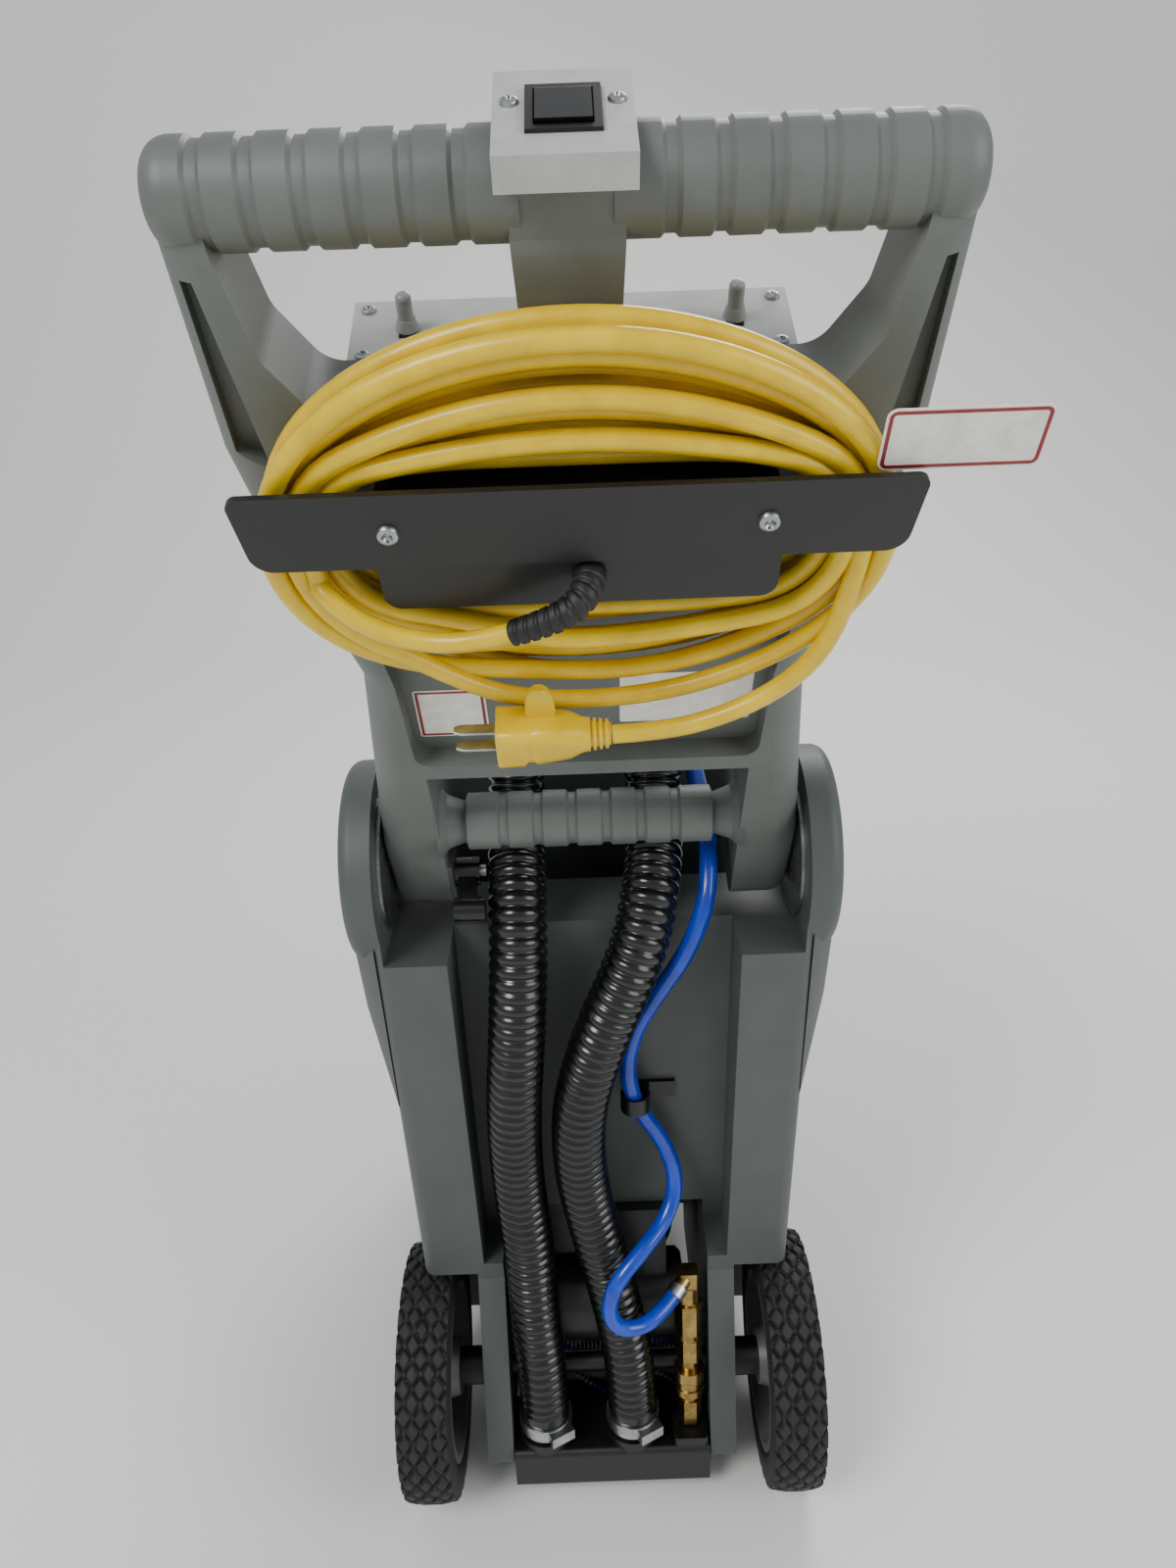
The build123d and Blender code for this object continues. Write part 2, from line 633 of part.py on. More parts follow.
save(tube_along(LEFT_HOSE_ROUTE, HOSE_R, "left_hose", HOSE_BORE), "left_hose")
save(tube_along(RIGHT_HOSE_ROUTE, HOSE_R, "right_hose", HOSE_BORE), "right_hose")
save(tube_along(TUBE_ROUTE, TUBE_R, "solution_tube"), "solution_tube")

ELBOW_LOW = 664.0
with BuildPart() as inlet_elbows:
    for x in (LEFT_INLET_X, RIGHT_INLET_X):
        with BuildLine():
            elbow_path = FilletPolyline((x, -38, ELBOW_LOW), (x, -38, INLET_Z), (x, 12, INLET_Z), radius=27)
        with BuildSketch(Plane.XY.offset(ELBOW_LOW).move(Location((x, -38, 0)))):
            Circle(HOSE_R + 1)
            Circle(HOSE_BORE - 1, mode=Mode.SUBTRACT)
        sweep(path=elbow_path)
save(inlet_elbows.part, "inlet_elbows")

with BuildPart() as hose_clamps:
    for x in (LEFT_PORT_X, RIGHT_PORT_X):
        with BuildSketch(Plane.XY.offset(70)):
            with Locations((x, PORT_Y)):
                Circle(HOSE_R + 1.6)
                Circle(HOSE_R + 0.1, mode=Mode.SUBTRACT)
        extrude(amount=12)
        # worm screw housing across the front of the band
        with BuildSketch(Plane.XY.offset(71)):
            with Locations((x + 13, PORT_Y - 19.5)):
                Rectangle(20, 9, rotation=28)
            with Locations((x, PORT_Y)):
                Circle(HOSE_R + 0.1, mode=Mode.SUBTRACT)
        extrude(amount=10)

# ---------------------------------------------------------------- solution coupler and fittings

COUPLER = Plane(
    origin=(COUPLER_X, COUPLER_Y, SHOE_TOP + 11.5),
    x_dir=(1, 0, 0),
    z_dir=(0, math.sin(math.radians(COUPLER_TILT)), math.cos(math.radians(COUPLER_TILT))),
)
HEX_STACK = [(10.0, 0, 22), (10.5, 62, 82), (11.0, 88, 116)]       # across corners radius, low, high
ROUND_STACK = [(8.0, 20, 64), (9.0, 80, 90), (8.2, 114, 132)]
ELBOW_UP = 141.0
ELBOW_CENTRE = COUPLER.from_local_coords(Vector(0, 0, ELBOW_UP))

with BuildPart() as coupler_body:
    for radius, low, high in HEX_STACK:
        with BuildSketch(COUPLER.offset(low)):
            RegularPolygon(radius, 6)
        extrude(amount=high - low)
    for radius, low, high in ROUND_STACK:
        with BuildSketch(COUPLER.offset(low)):
            Circle(radius)
        extrude(amount=high - low)
save(coupler_body.part, "coupler_body")

with BuildPart() as coupler_sleeve:
    for radius, low, high in ((11.5, 28, 34), (10.4, 34, 42), (12.0, 42, 52)):
        with BuildSketch(COUPLER.offset(low)):
            Circle(radius)
            Circle(8.0 + FIT, mode=Mode.SUBTRACT)
        extrude(amount=high - low)
save(coupler_sleeve.part, "coupler_sleeve")

tube_start = Vector(*TUBE_ROUTE[0])
ARM = Plane(origin=ELBOW_CENTRE, z_dir=tube_start - ELBOW_CENTRE)
ARM_LENGTH = (tube_start - ELBOW_CENTRE).length

with BuildPart() as brass_elbow:
    with BuildSketch(COUPLER.offset(132)):
        RectangleRounded(15, 15, 2)
    extrude(amount=14)
    with BuildSketch(ARM.offset(4)):
        Circle(6.0)
    extrude(amount=ARM_LENGTH - 12.8)
save(brass_elbow.part, "brass_elbow")

# crimped ferrule, kept with the other bright clamps
with BuildPart() as ferrule:
    with BuildSketch(ARM.offset(ARM_LENGTH - 8.8)):
        Circle(7.4)
    extrude(amount=8.6)
save(Compound(hose_clamps.part.solids() + ferrule.part.solids()), "hose_clamps")

with BuildPart() as outlet_fitting:
    with BuildSketch(Plane.YZ.offset(-8)):
        with Locations((0, 652)):
            RegularPolygon(9, 6)
    extrude(amount=15)
    with BuildSketch(Plane.YZ.offset(6)):
        with Locations((0, 652)):
            Circle(7.5)
    extrude(amount=10)
    with BuildSketch(Plane.XZ):
        with Locations((-1, 652)):
            Circle(6)
    extrude(amount=-22)
save(outlet_fitting.part, "outlet_fitting")

CLIP_Z = 374.0
with BuildPart() as tube_clip:
    with BuildSketch(Plane.XY.offset(CLIP_Z - 7)):
        with Locations((42, -85.6)):
            Rectangle(30, 3.4)
        with Locations((33, -89)):
            Rectangle(9, 8)
        with Locations((26.5, -98.8)):
            Circle(11)
            Circle(TUBE_R + 2.8, mode=Mode.SUBTRACT)
    extrude(amount=14)
save(tube_clip.part, "tube_clip")

# ---------------------------------------------------------------- machinery in the bay

BRUSH = (-60.0, 37.0)        # y, z of the roller
BRUSH_R = 34.0
MOTOR = (-66.0, 140.0)       # y, z of the brush motor
MOTOR_R = 36.0

with BuildPart() as brush_shaft:
    with BuildSketch(Plane.YZ.offset(-BAY_HALF_W + 1)):
        with Locations(BRUSH):
            Circle(5)
    extrude(amount=2 * BAY_HALF_W - 2)
    for sign in (-1, 1):
        add(side_prism([(BRUSH[0] - 10, BRUSH[1] - 8), (BRUSH[0] + 10, BRUSH[1] - 8), (BRUSH[0] + 12, 100),
                        (BRUSH[0] - 12, 100)],
                       sign * (BAY_HALF_W - 2.5) - 2.3, sign * (BAY_HALF_W - 2.5) + 2.3))
save(brush_shaft.part, "brush_shaft")

with BuildPart() as roller_brush:
    # belt pulley on the left, then the bristle roller
    add(turned([(-72, 5 + FIT), (-72, 15), (-70, 15), (-70, 12), (-62, 12), (-62, 15), (-56, 15),
                (-56, BRUSH_R), (70, BRUSH_R), (70, 16), (72, 16), (72, 5 + FIT)], BRUSH))
save(roller_brush.part, "roller_brush")

with BuildPart() as brush_motor:
    add(turned([(-44, 0), (-44, MOTOR_R - 4), (-40, MOTOR_R), (60, MOTOR_R), (64, MOTOR_R - 4), (64, 0)], MOTOR))
    add(turned([(-74, 0), (-74, 4), (-43, 4), (-43, 0)], MOTOR))
    add(block((-6, MOTOR[0] - 14, MOTOR[1] + 20), (50, MOTOR[0] + 14, BAY_TOP)))
save(brush_motor.part, "brush_motor")

with BuildPart() as motor_pulley:
    add(turned([(-72, 4 + FIT), (-72, 12), (-70, 12), (-70, 9), (-62, 9), (-62, 12), (-58.2, 12), (-58.2, 4 + FIT)],
               MOTOR))
save(motor_pulley.part, "motor_pulley")

with BuildPart() as drive_belt:
    for outward, mode in ((3.2, Mode.ADD), (0.4, Mode.SUBTRACT)):
        with BuildSketch(Plane.YZ.offset(-69.4)):
            with Locations(BRUSH):
                Circle(12 + outward)
            with Locations(MOTOR):
                Circle(9 + outward)
            make_hull()
        extrude(amount=6.8, mode=mode)
save(drive_belt.part, "drive_belt")

with BuildPart() as vacuum_motor:
    for radius, low, high in ((64, 118, 176), (52, 176, 214), (30, 214, 230), (16, 230, BAY_TOP)):
        with BuildSketch(Plane.XY.offset(low)):
            with Locations((0, DUCT_Y - 20 if high < BAY_TOP else DUCT_Y)):
                Circle(radius)
        extrude(amount=high - low)
    with BuildSketch(Plane.XY.offset(214)):
        with Locations((0, DUCT_Y - 8)):
            Circle(30)
    extrude(amount=18)
save(vacuum_motor.part, "vacuum_motor")

with BuildPart() as solution_pump:
    add(block((-74, -68, 186), (-14, -30, BAY_TOP)))
    fillet(solution_pump.edges().filter_by(Axis.X), radius=5)
save(solution_pump.part, "solution_pump")

with BuildPart() as spray_bar:
    with BuildSketch(Plane.YZ.offset(-70)):
        with Locations((-6, 70)):
            Circle(7)
    extrude(amount=140)
    for x in (-45, 0, 45):
        with BuildSketch(Plane.XY.offset(48)):
            with Locations((x, -6)):
                Circle(5)
        extrude(amount=18)
    add(block((-6, -14, 74), (6, 2, 118)))
save(spray_bar.part, "spray_bar")

# ---------------------------------------------------------------- inside the recovery tank, lid, caps

with BuildPart() as standpipe:
    with BuildSketch(Plane.XY.offset(BAY_TOP + 2)):
        with Locations((0, DUCT_Y)):
            Circle(DUCT_R - 0.2)
            Circle(DUCT_R - 3, mode=Mode.SUBTRACT)
    extrude(amount=372)
    # cage for the float: three bars and a ring
    with BuildSketch(Plane.XY.offset(BAY_TOP + 374)):
        with Locations((0, DUCT_Y)):
            with PolarLocations(DUCT_R - 1.5, 3):
                Rectangle(3, 5)
    extrude(amount=52)
    with BuildSketch(Plane.XY.offset(BAY_TOP + 426)):
        with Locations((0, DUCT_Y)):
            Circle(DUCT_R)
            Circle(DUCT_R - 5, mode=Mode.SUBTRACT)
    extrude(amount=4)
save(standpipe.part, "standpipe")

FLOAT_Z = BAY_TOP + 374 + 13
with BuildPart() as float_ball:
    with Locations((0, DUCT_Y, FLOAT_Z)):
        Sphere(12.9)
save(float_ball.part, "float_ball")

LID_Z = DOME_TOP + 6
HINGE = (LID_Y + LID_R + 9, LID_Z + 5)      # y, z of the lid hinge pin
with BuildPart() as access_lid:
    with BuildSketch(Plane.XY.offset(LID_Z)):
        with Locations((0, LID_Y)):
            Circle(LID_R)
    extrude(amount=6)
    fillet(access_lid.faces().sort_by(Axis.Z)[-1].edges(), radius=3)
    with BuildSketch(Plane.XY.offset(LID_Z + 6)):
        with Locations((0, LID_Y - 30)):
            RectangleRounded(50, 12, 5)
    extrude(amount=7)
    # hinge tongue and knuckle
    add(block((-14, LID_Y + LID_R - 8, LID_Z + 2), (14, HINGE[0], LID_Z + 6)))
    add(turned([(-14, 2 + FIT), (-14, 5), (14, 5), (14, 2 + FIT)], HINGE))
    with BuildSketch(Plane.YZ.offset(-15)):
        with Locations(HINGE):
            Circle(2 + FIT)
    extrude(amount=30, mode=Mode.SUBTRACT)
save(access_lid.part, "access_lid")

with BuildPart() as lid_hinge:
    with BuildSketch(Plane.YZ.offset(-24)):
        with Locations(HINGE):
            Circle(2)
    extrude(amount=48)
    for sign in (-1, 1):
        add(side_prism([(HINGE[0] - 6, DOME_TOP - 4), (HINGE[0] + 5, DOME_TOP - 4), (HINGE[0] + 5, HINGE[1] + 4),
                        (HINGE[0] - 4, HINGE[1] + 4)], sign * 19 - 4, sign * 19 + 4))
save(lid_hinge.part, "lid_hinge")

with BuildPart() as fill_cap:
    with BuildSketch(Plane.XY.offset(FILL_TOP)):
        with Locations((0, FILL_Y)):
            Circle(FILL_R + 8)
    extrude(amount=10)
    fillet(fill_cap.faces().sort_by(Axis.Z)[-1].edges(), radius=2.5)
    with BuildSketch(Plane.XY.offset(FILL_TOP - 12)):
        with Locations((0, FILL_Y)):
            Circle(FILL_R - FIT)
            Circle(FILL_R - 4, mode=Mode.SUBTRACT)
    extrude(amount=12)
    with BuildSketch(Plane.XY.offset(FILL_TOP + 10)):
        with Locations((0, FILL_Y)):
            RectangleRounded(44, 9, 4)
    extrude(amount=8)
save(fill_cap.part, "fill_cap")


# ---------------------------------------------------------------- pieces on the handle

def handle_block(low, high, corner=0.0):
    """A box in handle coordinates (u, w, n), with its edges along n rounded."""
    size = [b - a for a, b in zip(low, high)]
    middle = [(a + b) / 2 for a, b in zip(low, high)]
    box = Box(*size, mode=Mode.PRIVATE)
    if corner:
        box = box.fillet(corner, box.edges().filter_by(Axis.Z))
    return HANDLE.location * Pos(*middle) * box


def handle_point(u, w, n):
    """A point given in handle coordinates, in the machine's frame."""
    return HANDLE.from_local_coords(Vector(u, w, n))


def across_handle(w, n, radius, low_u, high_u):
    """A round bar along u at (w, n)."""
    centre = handle_point(0, w, n)
    with BuildPart() as bar:
        with BuildSketch(Plane.YZ.offset(low_u)):
            with Locations((centre.Y, centre.Z)):
                Circle(radius)
        extrude(amount=high_u - low_u)
    return bar.part


SWITCH_N = 2.0
PLATE_W = GRIP_W + 24
with BuildPart() as switch_cover:
    add(handle_block((-25, PLATE_W - 11, -29), (25, PLATE_W + 2, 33)))
    add(handle_block((-23, PLATE_W - 12, -27), (23, PLATE_W, 31)), mode=Mode.SUBTRACT)
    add(handle_block((-30, PLATE_W - 12, -19.3), (30, GRIP_W + 21, 19.3)), mode=Mode.SUBTRACT)
    add(handle_block((-12, PLATE_W - 1, SWITCH_N - 15), (12, PLATE_W + 3, SWITCH_N + 15)), mode=Mode.SUBTRACT)
save(switch_cover.part, "switch_cover")

with BuildPart() as switch_bezel:
    add(handle_block((-13.5, PLATE_W + 2, SWITCH_N - 16.5), (13.5, PLATE_W + 3.6, SWITCH_N + 16.5)))
    add(handle_block((-12, PLATE_W - 5.5, SWITCH_N - 15), (12, PLATE_W + 3, SWITCH_N + 15)))
    add(handle_block((-10.6, PLATE_W - 4, SWITCH_N - 13.4), (10.6, PLATE_W + 5, SWITCH_N + 13.4)), mode=Mode.SUBTRACT)
save(switch_bezel.part, "switch_bezel")

with BuildPart() as rocker_switch:
    add(handle_block((-10, PLATE_W - 1, SWITCH_N - 12), (10, PLATE_W + 5, SWITCH_N + 12)))
    fillet(rocker_switch.edges().filter_by(Axis.X).group_by(Axis.Z)[-1], radius=2)
save(rocker_switch.part, "rocker_switch")

PANEL_W = 362.0
with BuildPart() as control_box:
    add(handle_block((-96, 250, -72), (96, PANEL_W, -20.2), 6))
    add(handle_block((-90, 252, -21), (90, 350, -6.2), 10))
save(control_box.part, "control_box")

TOGGLE_N = -50.0
TOGGLE_FOOT_W = PANEL_W + 3.4
TOGGLES = (("left", -74), ("right", 74))
with BuildPart() as control_panel:
    add(handle_block((-100, PANEL_W, -74), (100, PANEL_W + 2, -21)))
    for _, u in TOGGLES:
        add(handle_block((u - 4, PANEL_W - 1, TOGGLE_N - 6), (u + 4, PANEL_W + 3, TOGGLE_N + 6)), mode=Mode.SUBTRACT)
save(control_panel.part, "control_panel")

for side, u in TOGGLES:
    with BuildPart() as toggle:
        foot = handle_point(u, TOGGLE_FOOT_W, TOGGLE_N)
        with BuildSketch(Plane(origin=foot, x_dir=(1, 0, 0), z_dir=HANDLE.y_dir)):
            Circle(5.5)
        extrude(amount=5, taper=15)
        with BuildSketch(Plane(origin=foot, x_dir=(1, 0, 0), z_dir=HANDLE.y_dir)):
            Circle(3.6)
        extrude(amount=17)
        fillet(toggle.faces().sort_by(Axis((0, 0, 0), HANDLE.y_dir))[-1].edges(), radius=2.5)
    save(toggle.part, f"{side}_toggle")

# ---------------------------------------------------------------- cord hub, plate, cord and plug

HUB_REAR = 62.0
with BuildPart() as cord_hub:
    add(handle_block((-86, 300, 6), (86, 352, HUB_REAR), 8))
save(cord_hub.part, "cord_hub")

with BuildPart() as cord_plate:
    with BuildSketch(HANDLE.offset(HUB_REAR)) as plate:
        with BuildLine():
            Polyline((-137, 327), (137, 327), (141, 366), (-141, 366), close=True)
        make_face()
        fillet(plate.vertices().group_by(Axis.Y)[0], radius=10)
        fillet(plate.vertices().group_by(Axis.Y)[-1], radius=5)
    extrude(amount=3)
save(cord_plate.part, "cord_plate")

# pan head screws: two on the switch cover, four on the control panel, two on the cord plate
UPWARD_HEADS = [(-19, PLATE_W + 2, SWITCH_N - 6), (19, PLATE_W + 2, SWITCH_N - 6)]
UPWARD_HEADS += [(u, PANEL_W + 2, n) for u in (-93, 93) for n in (-31, -66)]
with BuildPart() as handle_screws:
    for spot in UPWARD_HEADS:
        with BuildSketch(Plane(origin=handle_point(*spot), x_dir=(1, 0, 0), z_dir=HANDLE.y_dir)):
            Circle(3.4)
        extrude(amount=2)
    with BuildSketch(HANDLE.offset(HUB_REAR + 3)):
        with Locations((-78, 346), (78, 346)):
            Circle(4.8)
    extrude(amount=2.6)
save(handle_screws.part, "handle_screws")

CORD_R = 4.8
COIL_LOW_N = 21.0
COIL_HIGH_N = 57.0
with BuildPart() as power_coil:
    with BuildSketch(HANDLE.offset(COIL_LOW_N)):
        with Locations((0, 321)):
            Ellipse(141, 108)
        with Locations((0, 327)):
            RectangleRounded(2 * 104, 70, 30, mode=Mode.SUBTRACT)
    extrude(amount=COIL_HIGH_N - COIL_LOW_N)
save(power_coil.part, "power_coil")

RELIEF_ROUTE = [(4, 317, 62), (3, 316, 74), (-10, 309, 81), (-30, 299, 78)]
LEAD_ROUTE = [(-30, 299, 78), (-50, 290, 75), (-74, 288, 71), (-96, 295, 67), (-114, 310, 58)]
TAIL_ROUTE = [(13, 217, 71), (38, 218, 71), (66, 225, 69), (94, 241, 66), (114, 266, 61), (123, 292, 54)]


def in_machine(route):
    """A route in handle coordinates, as points in the machine's frame."""
    return [tuple(handle_point(*point)) for point in route]


save(tube_along(in_machine(RELIEF_ROUTE), 7.5, "strain_relief"), "strain_relief")
save(tube_along(in_machine(LEAD_ROUTE), CORD_R, "lead_cord"), "lead_cord")
save(tube_along(in_machine(TAIL_ROUTE), CORD_R, "tail_cord"), "tail_cord")

with BuildPart() as power_plug:
    add(handle_block((-44, 204, 58.5), (-4, 230, 82), 4))
    add(across_handle(217, 71, 9, -5, 13))
    add(handle_block((-34, 229, 60), (-18, 250, 66), 3))
    for w in (211, 223):
        add(handle_block((-61, w - 0.8, 70), (-43, w + 0.8, 76.5)))
    add(across_handle(217, 63, 2.4, -65, -43))
save(power_plug.part, "power_plug")

with BuildPart() as cord_tag:
    with BuildSketch(HANDLE.offset(COIL_HIGH_N + 0.4)):
        with Locations((152, 378)):
            RectangleRounded(66, 30, 3, rotation=-8)
    extrude(amount=0.8)
save(cord_tag.part, "cord_tag")

with BuildPart() as rating_labels:
    for low, high in (((-96, 139, 6), (-55, 180, 6.5)), ((19, 146, 6), (94, 188, 6.5))):
        add(handle_block(low, high, 2))
save(rating_labels.part, "rating_labels")

# ---------------------------------------------------------------- pivot discs, bolts and clamp lever

PIVOT_POINT = (PIVOT_Y, PIVOT_Z)
with BuildPart() as friction_discs:
    for sign in (-1, 1):
        with BuildSketch(Plane.YZ.offset(sign * ARM_OUT)):
            with Locations(PIVOT_POINT):
                Circle(47)
                Circle(6, mode=Mode.SUBTRACT)
        extrude(amount=sign * 2.2)
save(friction_discs.part, "friction_discs")

with BuildPart() as pivot_bolts:
    for sign in (-1, 1):
        with BuildSketch(Plane.YZ.offset(sign * (ARM_IN + 2))):
            with Locations(PIVOT_POINT):
                Circle(6.0)
        extrude(amount=sign * (EAR_OUT - ARM_IN))
        with BuildSketch(Plane.YZ.offset(sign * (EAR_OUT + 0.4))):
            with Locations(PIVOT_POINT):
                RegularPolygon(11, 6)
        extrude(amount=sign * 6)
save(pivot_bolts.part, "pivot_bolts")

with BuildPart() as clamp_bracket:
    add(handle_block((-ARM_IN, -26, -8), (-ARM_IN + 3, 16, 19)))
    add(across_handle(-6, 8, 4, -ARM_IN + 2, -ARM_IN + 24))
save(clamp_bracket.part, "clamp_bracket")

with BuildPart() as clamp_lever:
    add(across_handle(-6, 8, 10, -ARM_IN + 3.4, -ARM_IN + 20))
    add(handle_block((-ARM_IN + 6, -12, 8), (-ARM_IN + 18, 0, 38)))
    add(across_handle(-6, 38, 8, -ARM_IN + 3.4, -ARM_IN + 24))
    add(across_handle(-6, 8, 4 + FIT, -ARM_IN, -ARM_IN + 30), mode=Mode.SUBTRACT)
save(clamp_lever.part, "clamp_lever")
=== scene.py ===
"""Walk-behind carpet extractor: finishes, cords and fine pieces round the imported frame. Lengths in metres."""
import math

import bpy
from mathutils import Matrix, Vector


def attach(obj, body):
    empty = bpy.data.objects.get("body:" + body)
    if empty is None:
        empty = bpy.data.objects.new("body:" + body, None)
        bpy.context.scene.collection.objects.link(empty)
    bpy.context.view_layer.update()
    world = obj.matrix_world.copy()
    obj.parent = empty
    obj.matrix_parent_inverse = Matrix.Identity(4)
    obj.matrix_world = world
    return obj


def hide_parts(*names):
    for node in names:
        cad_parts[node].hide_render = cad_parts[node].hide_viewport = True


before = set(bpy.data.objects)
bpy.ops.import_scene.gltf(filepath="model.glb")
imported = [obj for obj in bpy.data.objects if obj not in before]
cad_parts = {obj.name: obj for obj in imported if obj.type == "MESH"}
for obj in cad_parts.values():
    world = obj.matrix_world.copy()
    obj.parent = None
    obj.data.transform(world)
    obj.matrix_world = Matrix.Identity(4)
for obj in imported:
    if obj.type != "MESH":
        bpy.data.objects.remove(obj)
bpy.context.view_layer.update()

MM = 0.001
TAU = 2 * math.pi

# ---------------------------------------------------------------- the handle's own plane
LEAN = math.radians(29)
PIVOT = Vector((0, -0.089, 0.580))
ACROSS = Vector((1, 0, 0))
UP_HANDLE = Vector((0, -math.sin(LEAN), math.cos(LEAN)))
TO_OPERATOR = Vector((0, -math.cos(LEAN), -math.sin(LEAN)))


def handle_point(u, w, n):
    """Point across, up and towards the operator on the handle, from millimetres."""
    return PIVOT + MM * (u * ACROSS + w * UP_HANDLE + n * TO_OPERATOR)


def machine_point(x, y, z):
    return Vector((x, y, z)) * MM


# ---------------------------------------------------------------- camera
CAMERA_PLACE = (0, -0.793, 0.959)
CAMERA_DOWN = math.radians(25)
CAMERA_ROLL = math.radians(-2.1)


def make_camera():
    data = bpy.data.cameras.new("camera")
    data.sensor_fit = "VERTICAL"
    data.sensor_height = 24
    data.lens = 18
    data.clip_start = 0.02
    camera = bpy.data.objects.new("camera", data)
    bpy.context.collection.objects.link(camera)
    turn = Matrix.Rotation(math.pi / 2 - CAMERA_DOWN, 4, "X") @ Matrix.Rotation(CAMERA_ROLL, 4, "Z")
    camera.matrix_world = Matrix.Translation(CAMERA_PLACE) @ turn
    bpy.context.scene.camera = camera


make_camera()


# ---------------------------------------------------------------- materials
def linear(hex_colour):
    """Turns an sRGB hex value into linear RGBA."""
    parts = [int(hex_colour[i:i + 2], 16) / 255 for i in (0, 2, 4)]
    return (*[c / 12.92 if c <= 0.04045 else ((c + 0.055) / 1.055) ** 2.4 for c in parts], 1)


def put(tree, kind, settings=(), links=()):
    """Adds a node, sets its sockets or properties, and links named inputs to outputs."""
    node = tree.nodes.new(kind)
    for key, value in dict(settings).items():
        if key in node.inputs.keys():
            node.inputs[key].default_value = value
        else:
            setattr(node, key, value)
    for key, socket in dict(links).items():
        tree.links.new(socket, node.inputs[key])
    return node


def shader(name, settings):
    """A new material with one Principled shader; returns the material, its tree and the shader."""
    material = bpy.data.materials.new(name)
    material.use_nodes = True
    tree = material.node_tree
    bsdf = tree.nodes["Principled BSDF"]
    for key, value in settings.items():
        bsdf.inputs[key].default_value = value
    return material, tree, bsdf


def per_mm(size_mm):
    """Texture scale that gives one feature every size_mm."""
    return 1 / (size_mm * MM)


def mottled(tree, bsdf, dark, light, patch_mm):
    """Colour that drifts between two shades in patches; returns the coordinates and noise nodes."""
    place = put(tree, "ShaderNodeTexCoord")
    noise = put(tree, "ShaderNodeTexNoise", {"Scale": per_mm(patch_mm), "Detail": 6, "Roughness": 0.6},
                {"Vector": place.outputs["Object"]})
    ramp = put(tree, "ShaderNodeValToRGB", (), {"Fac": noise.outputs["Fac"]})
    ramp.color_ramp.elements[0].position = 0.35
    ramp.color_ramp.elements[1].position = 0.65
    ramp.color_ramp.elements[0].color = linear(dark)
    ramp.color_ramp.elements[1].color = linear(light)
    tree.links.new(ramp.outputs["Color"], bsdf.inputs["Base Color"])
    return place, noise


def grained(tree, bsdf, place, grain_mm, height_mm, strength):
    """Fine bumps of a given size and height over the whole surface."""
    grain = put(tree, "ShaderNodeTexNoise", {"Scale": per_mm(grain_mm), "Detail": 3},
                {"Vector": place.outputs["Object"]})
    bump = put(tree, "ShaderNodeBump", {"Strength": strength, "Distance": height_mm * MM},
               {"Height": grain.outputs["Fac"]})
    tree.links.new(bump.outputs["Normal"], bsdf.inputs["Normal"])


def varied_roughness(tree, bsdf, source, low, high):
    ranged = put(tree, "ShaderNodeMapRange", {"To Min": low, "To Max": high}, {"Value": source})
    tree.links.new(ranged.outputs["Result"], bsdf.inputs["Roughness"])


def rotomoulded(name, dark, light, low_rough, high_rough):
    """Rotomoulded polyethylene: faint mottling and a leathery skin, duller where it was rubbed."""
    material, tree, bsdf = shader(name, {"IOR": 1.51})
    place, patches = mottled(tree, bsdf, dark, light, 38)
    grained(tree, bsdf, place, 1.6, 0.10, 0.55)
    varied_roughness(tree, bsdf, patches.outputs["Fac"], low_rough, high_rough)
    return material


def moulded(name, dark, light, rough, grain_mm=0.9, height_mm=0.05):
    """Injection moulded ABS or nylon: even colour and a light spark-eroded grain."""
    material, tree, bsdf = shader(name, {"IOR": 1.54})
    place, patches = mottled(tree, bsdf, dark, light, 14)
    grained(tree, bsdf, place, grain_mm, height_mm, 0.5)
    varied_roughness(tree, bsdf, patches.outputs["Fac"], rough - 0.06, rough + 0.06)
    return material


def coated(name, dark, light, rough, peel_mm, height_mm):
    """Powder coat or enamel: an orange-peel skin over sheet metal."""
    material, tree, bsdf = shader(name, {"IOR": 1.5, "Coat Weight": 0.25, "Coat Roughness": 0.2})
    place, patches = mottled(tree, bsdf, dark, light, 24)
    grained(tree, bsdf, place, peel_mm, height_mm, 0.6)
    varied_roughness(tree, bsdf, patches.outputs["Fac"], rough - 0.05, rough + 0.07)
    return material


def soft_pvc(name, dark, light, rough):
    """Extruded soft PVC: glossy, with slight drag lines and scuffs."""
    material, tree, bsdf = shader(name, {"IOR": 1.53, "Coat Weight": 0.2, "Coat Roughness": 0.12})
    place, patches = mottled(tree, bsdf, dark, light, 19)
    grained(tree, bsdf, place, 2.2, 0.05, 0.5)
    varied_roughness(tree, bsdf, patches.outputs["Fac"], rough - 0.07, rough + 0.1)
    return material


TOOL_LINE_DEPTH = 0.02 * MM


def worked_metal(name, dark, light, rough, line_mm, stretch):
    """Metal with tool or brushing lines drawn out along one axis."""
    material, tree, bsdf = shader(name, {"Metallic": 1.0})
    place, patches = mottled(tree, bsdf, dark, light, 11)
    spread = put(tree, "ShaderNodeMapping", {"Scale": stretch}, {"Vector": place.outputs["Object"]})
    lines = put(tree, "ShaderNodeTexNoise", {"Scale": per_mm(line_mm), "Detail": 2},
                {"Vector": spread.outputs["Vector"]})
    bump = put(tree, "ShaderNodeBump", {"Strength": 0.4, "Distance": TOOL_LINE_DEPTH},
               {"Height": lines.outputs["Fac"]})
    tree.links.new(bump.outputs["Normal"], bsdf.inputs["Normal"])
    varied_roughness(tree, bsdf, lines.outputs["Fac"], rough - 0.08, rough + 0.1)
    return material


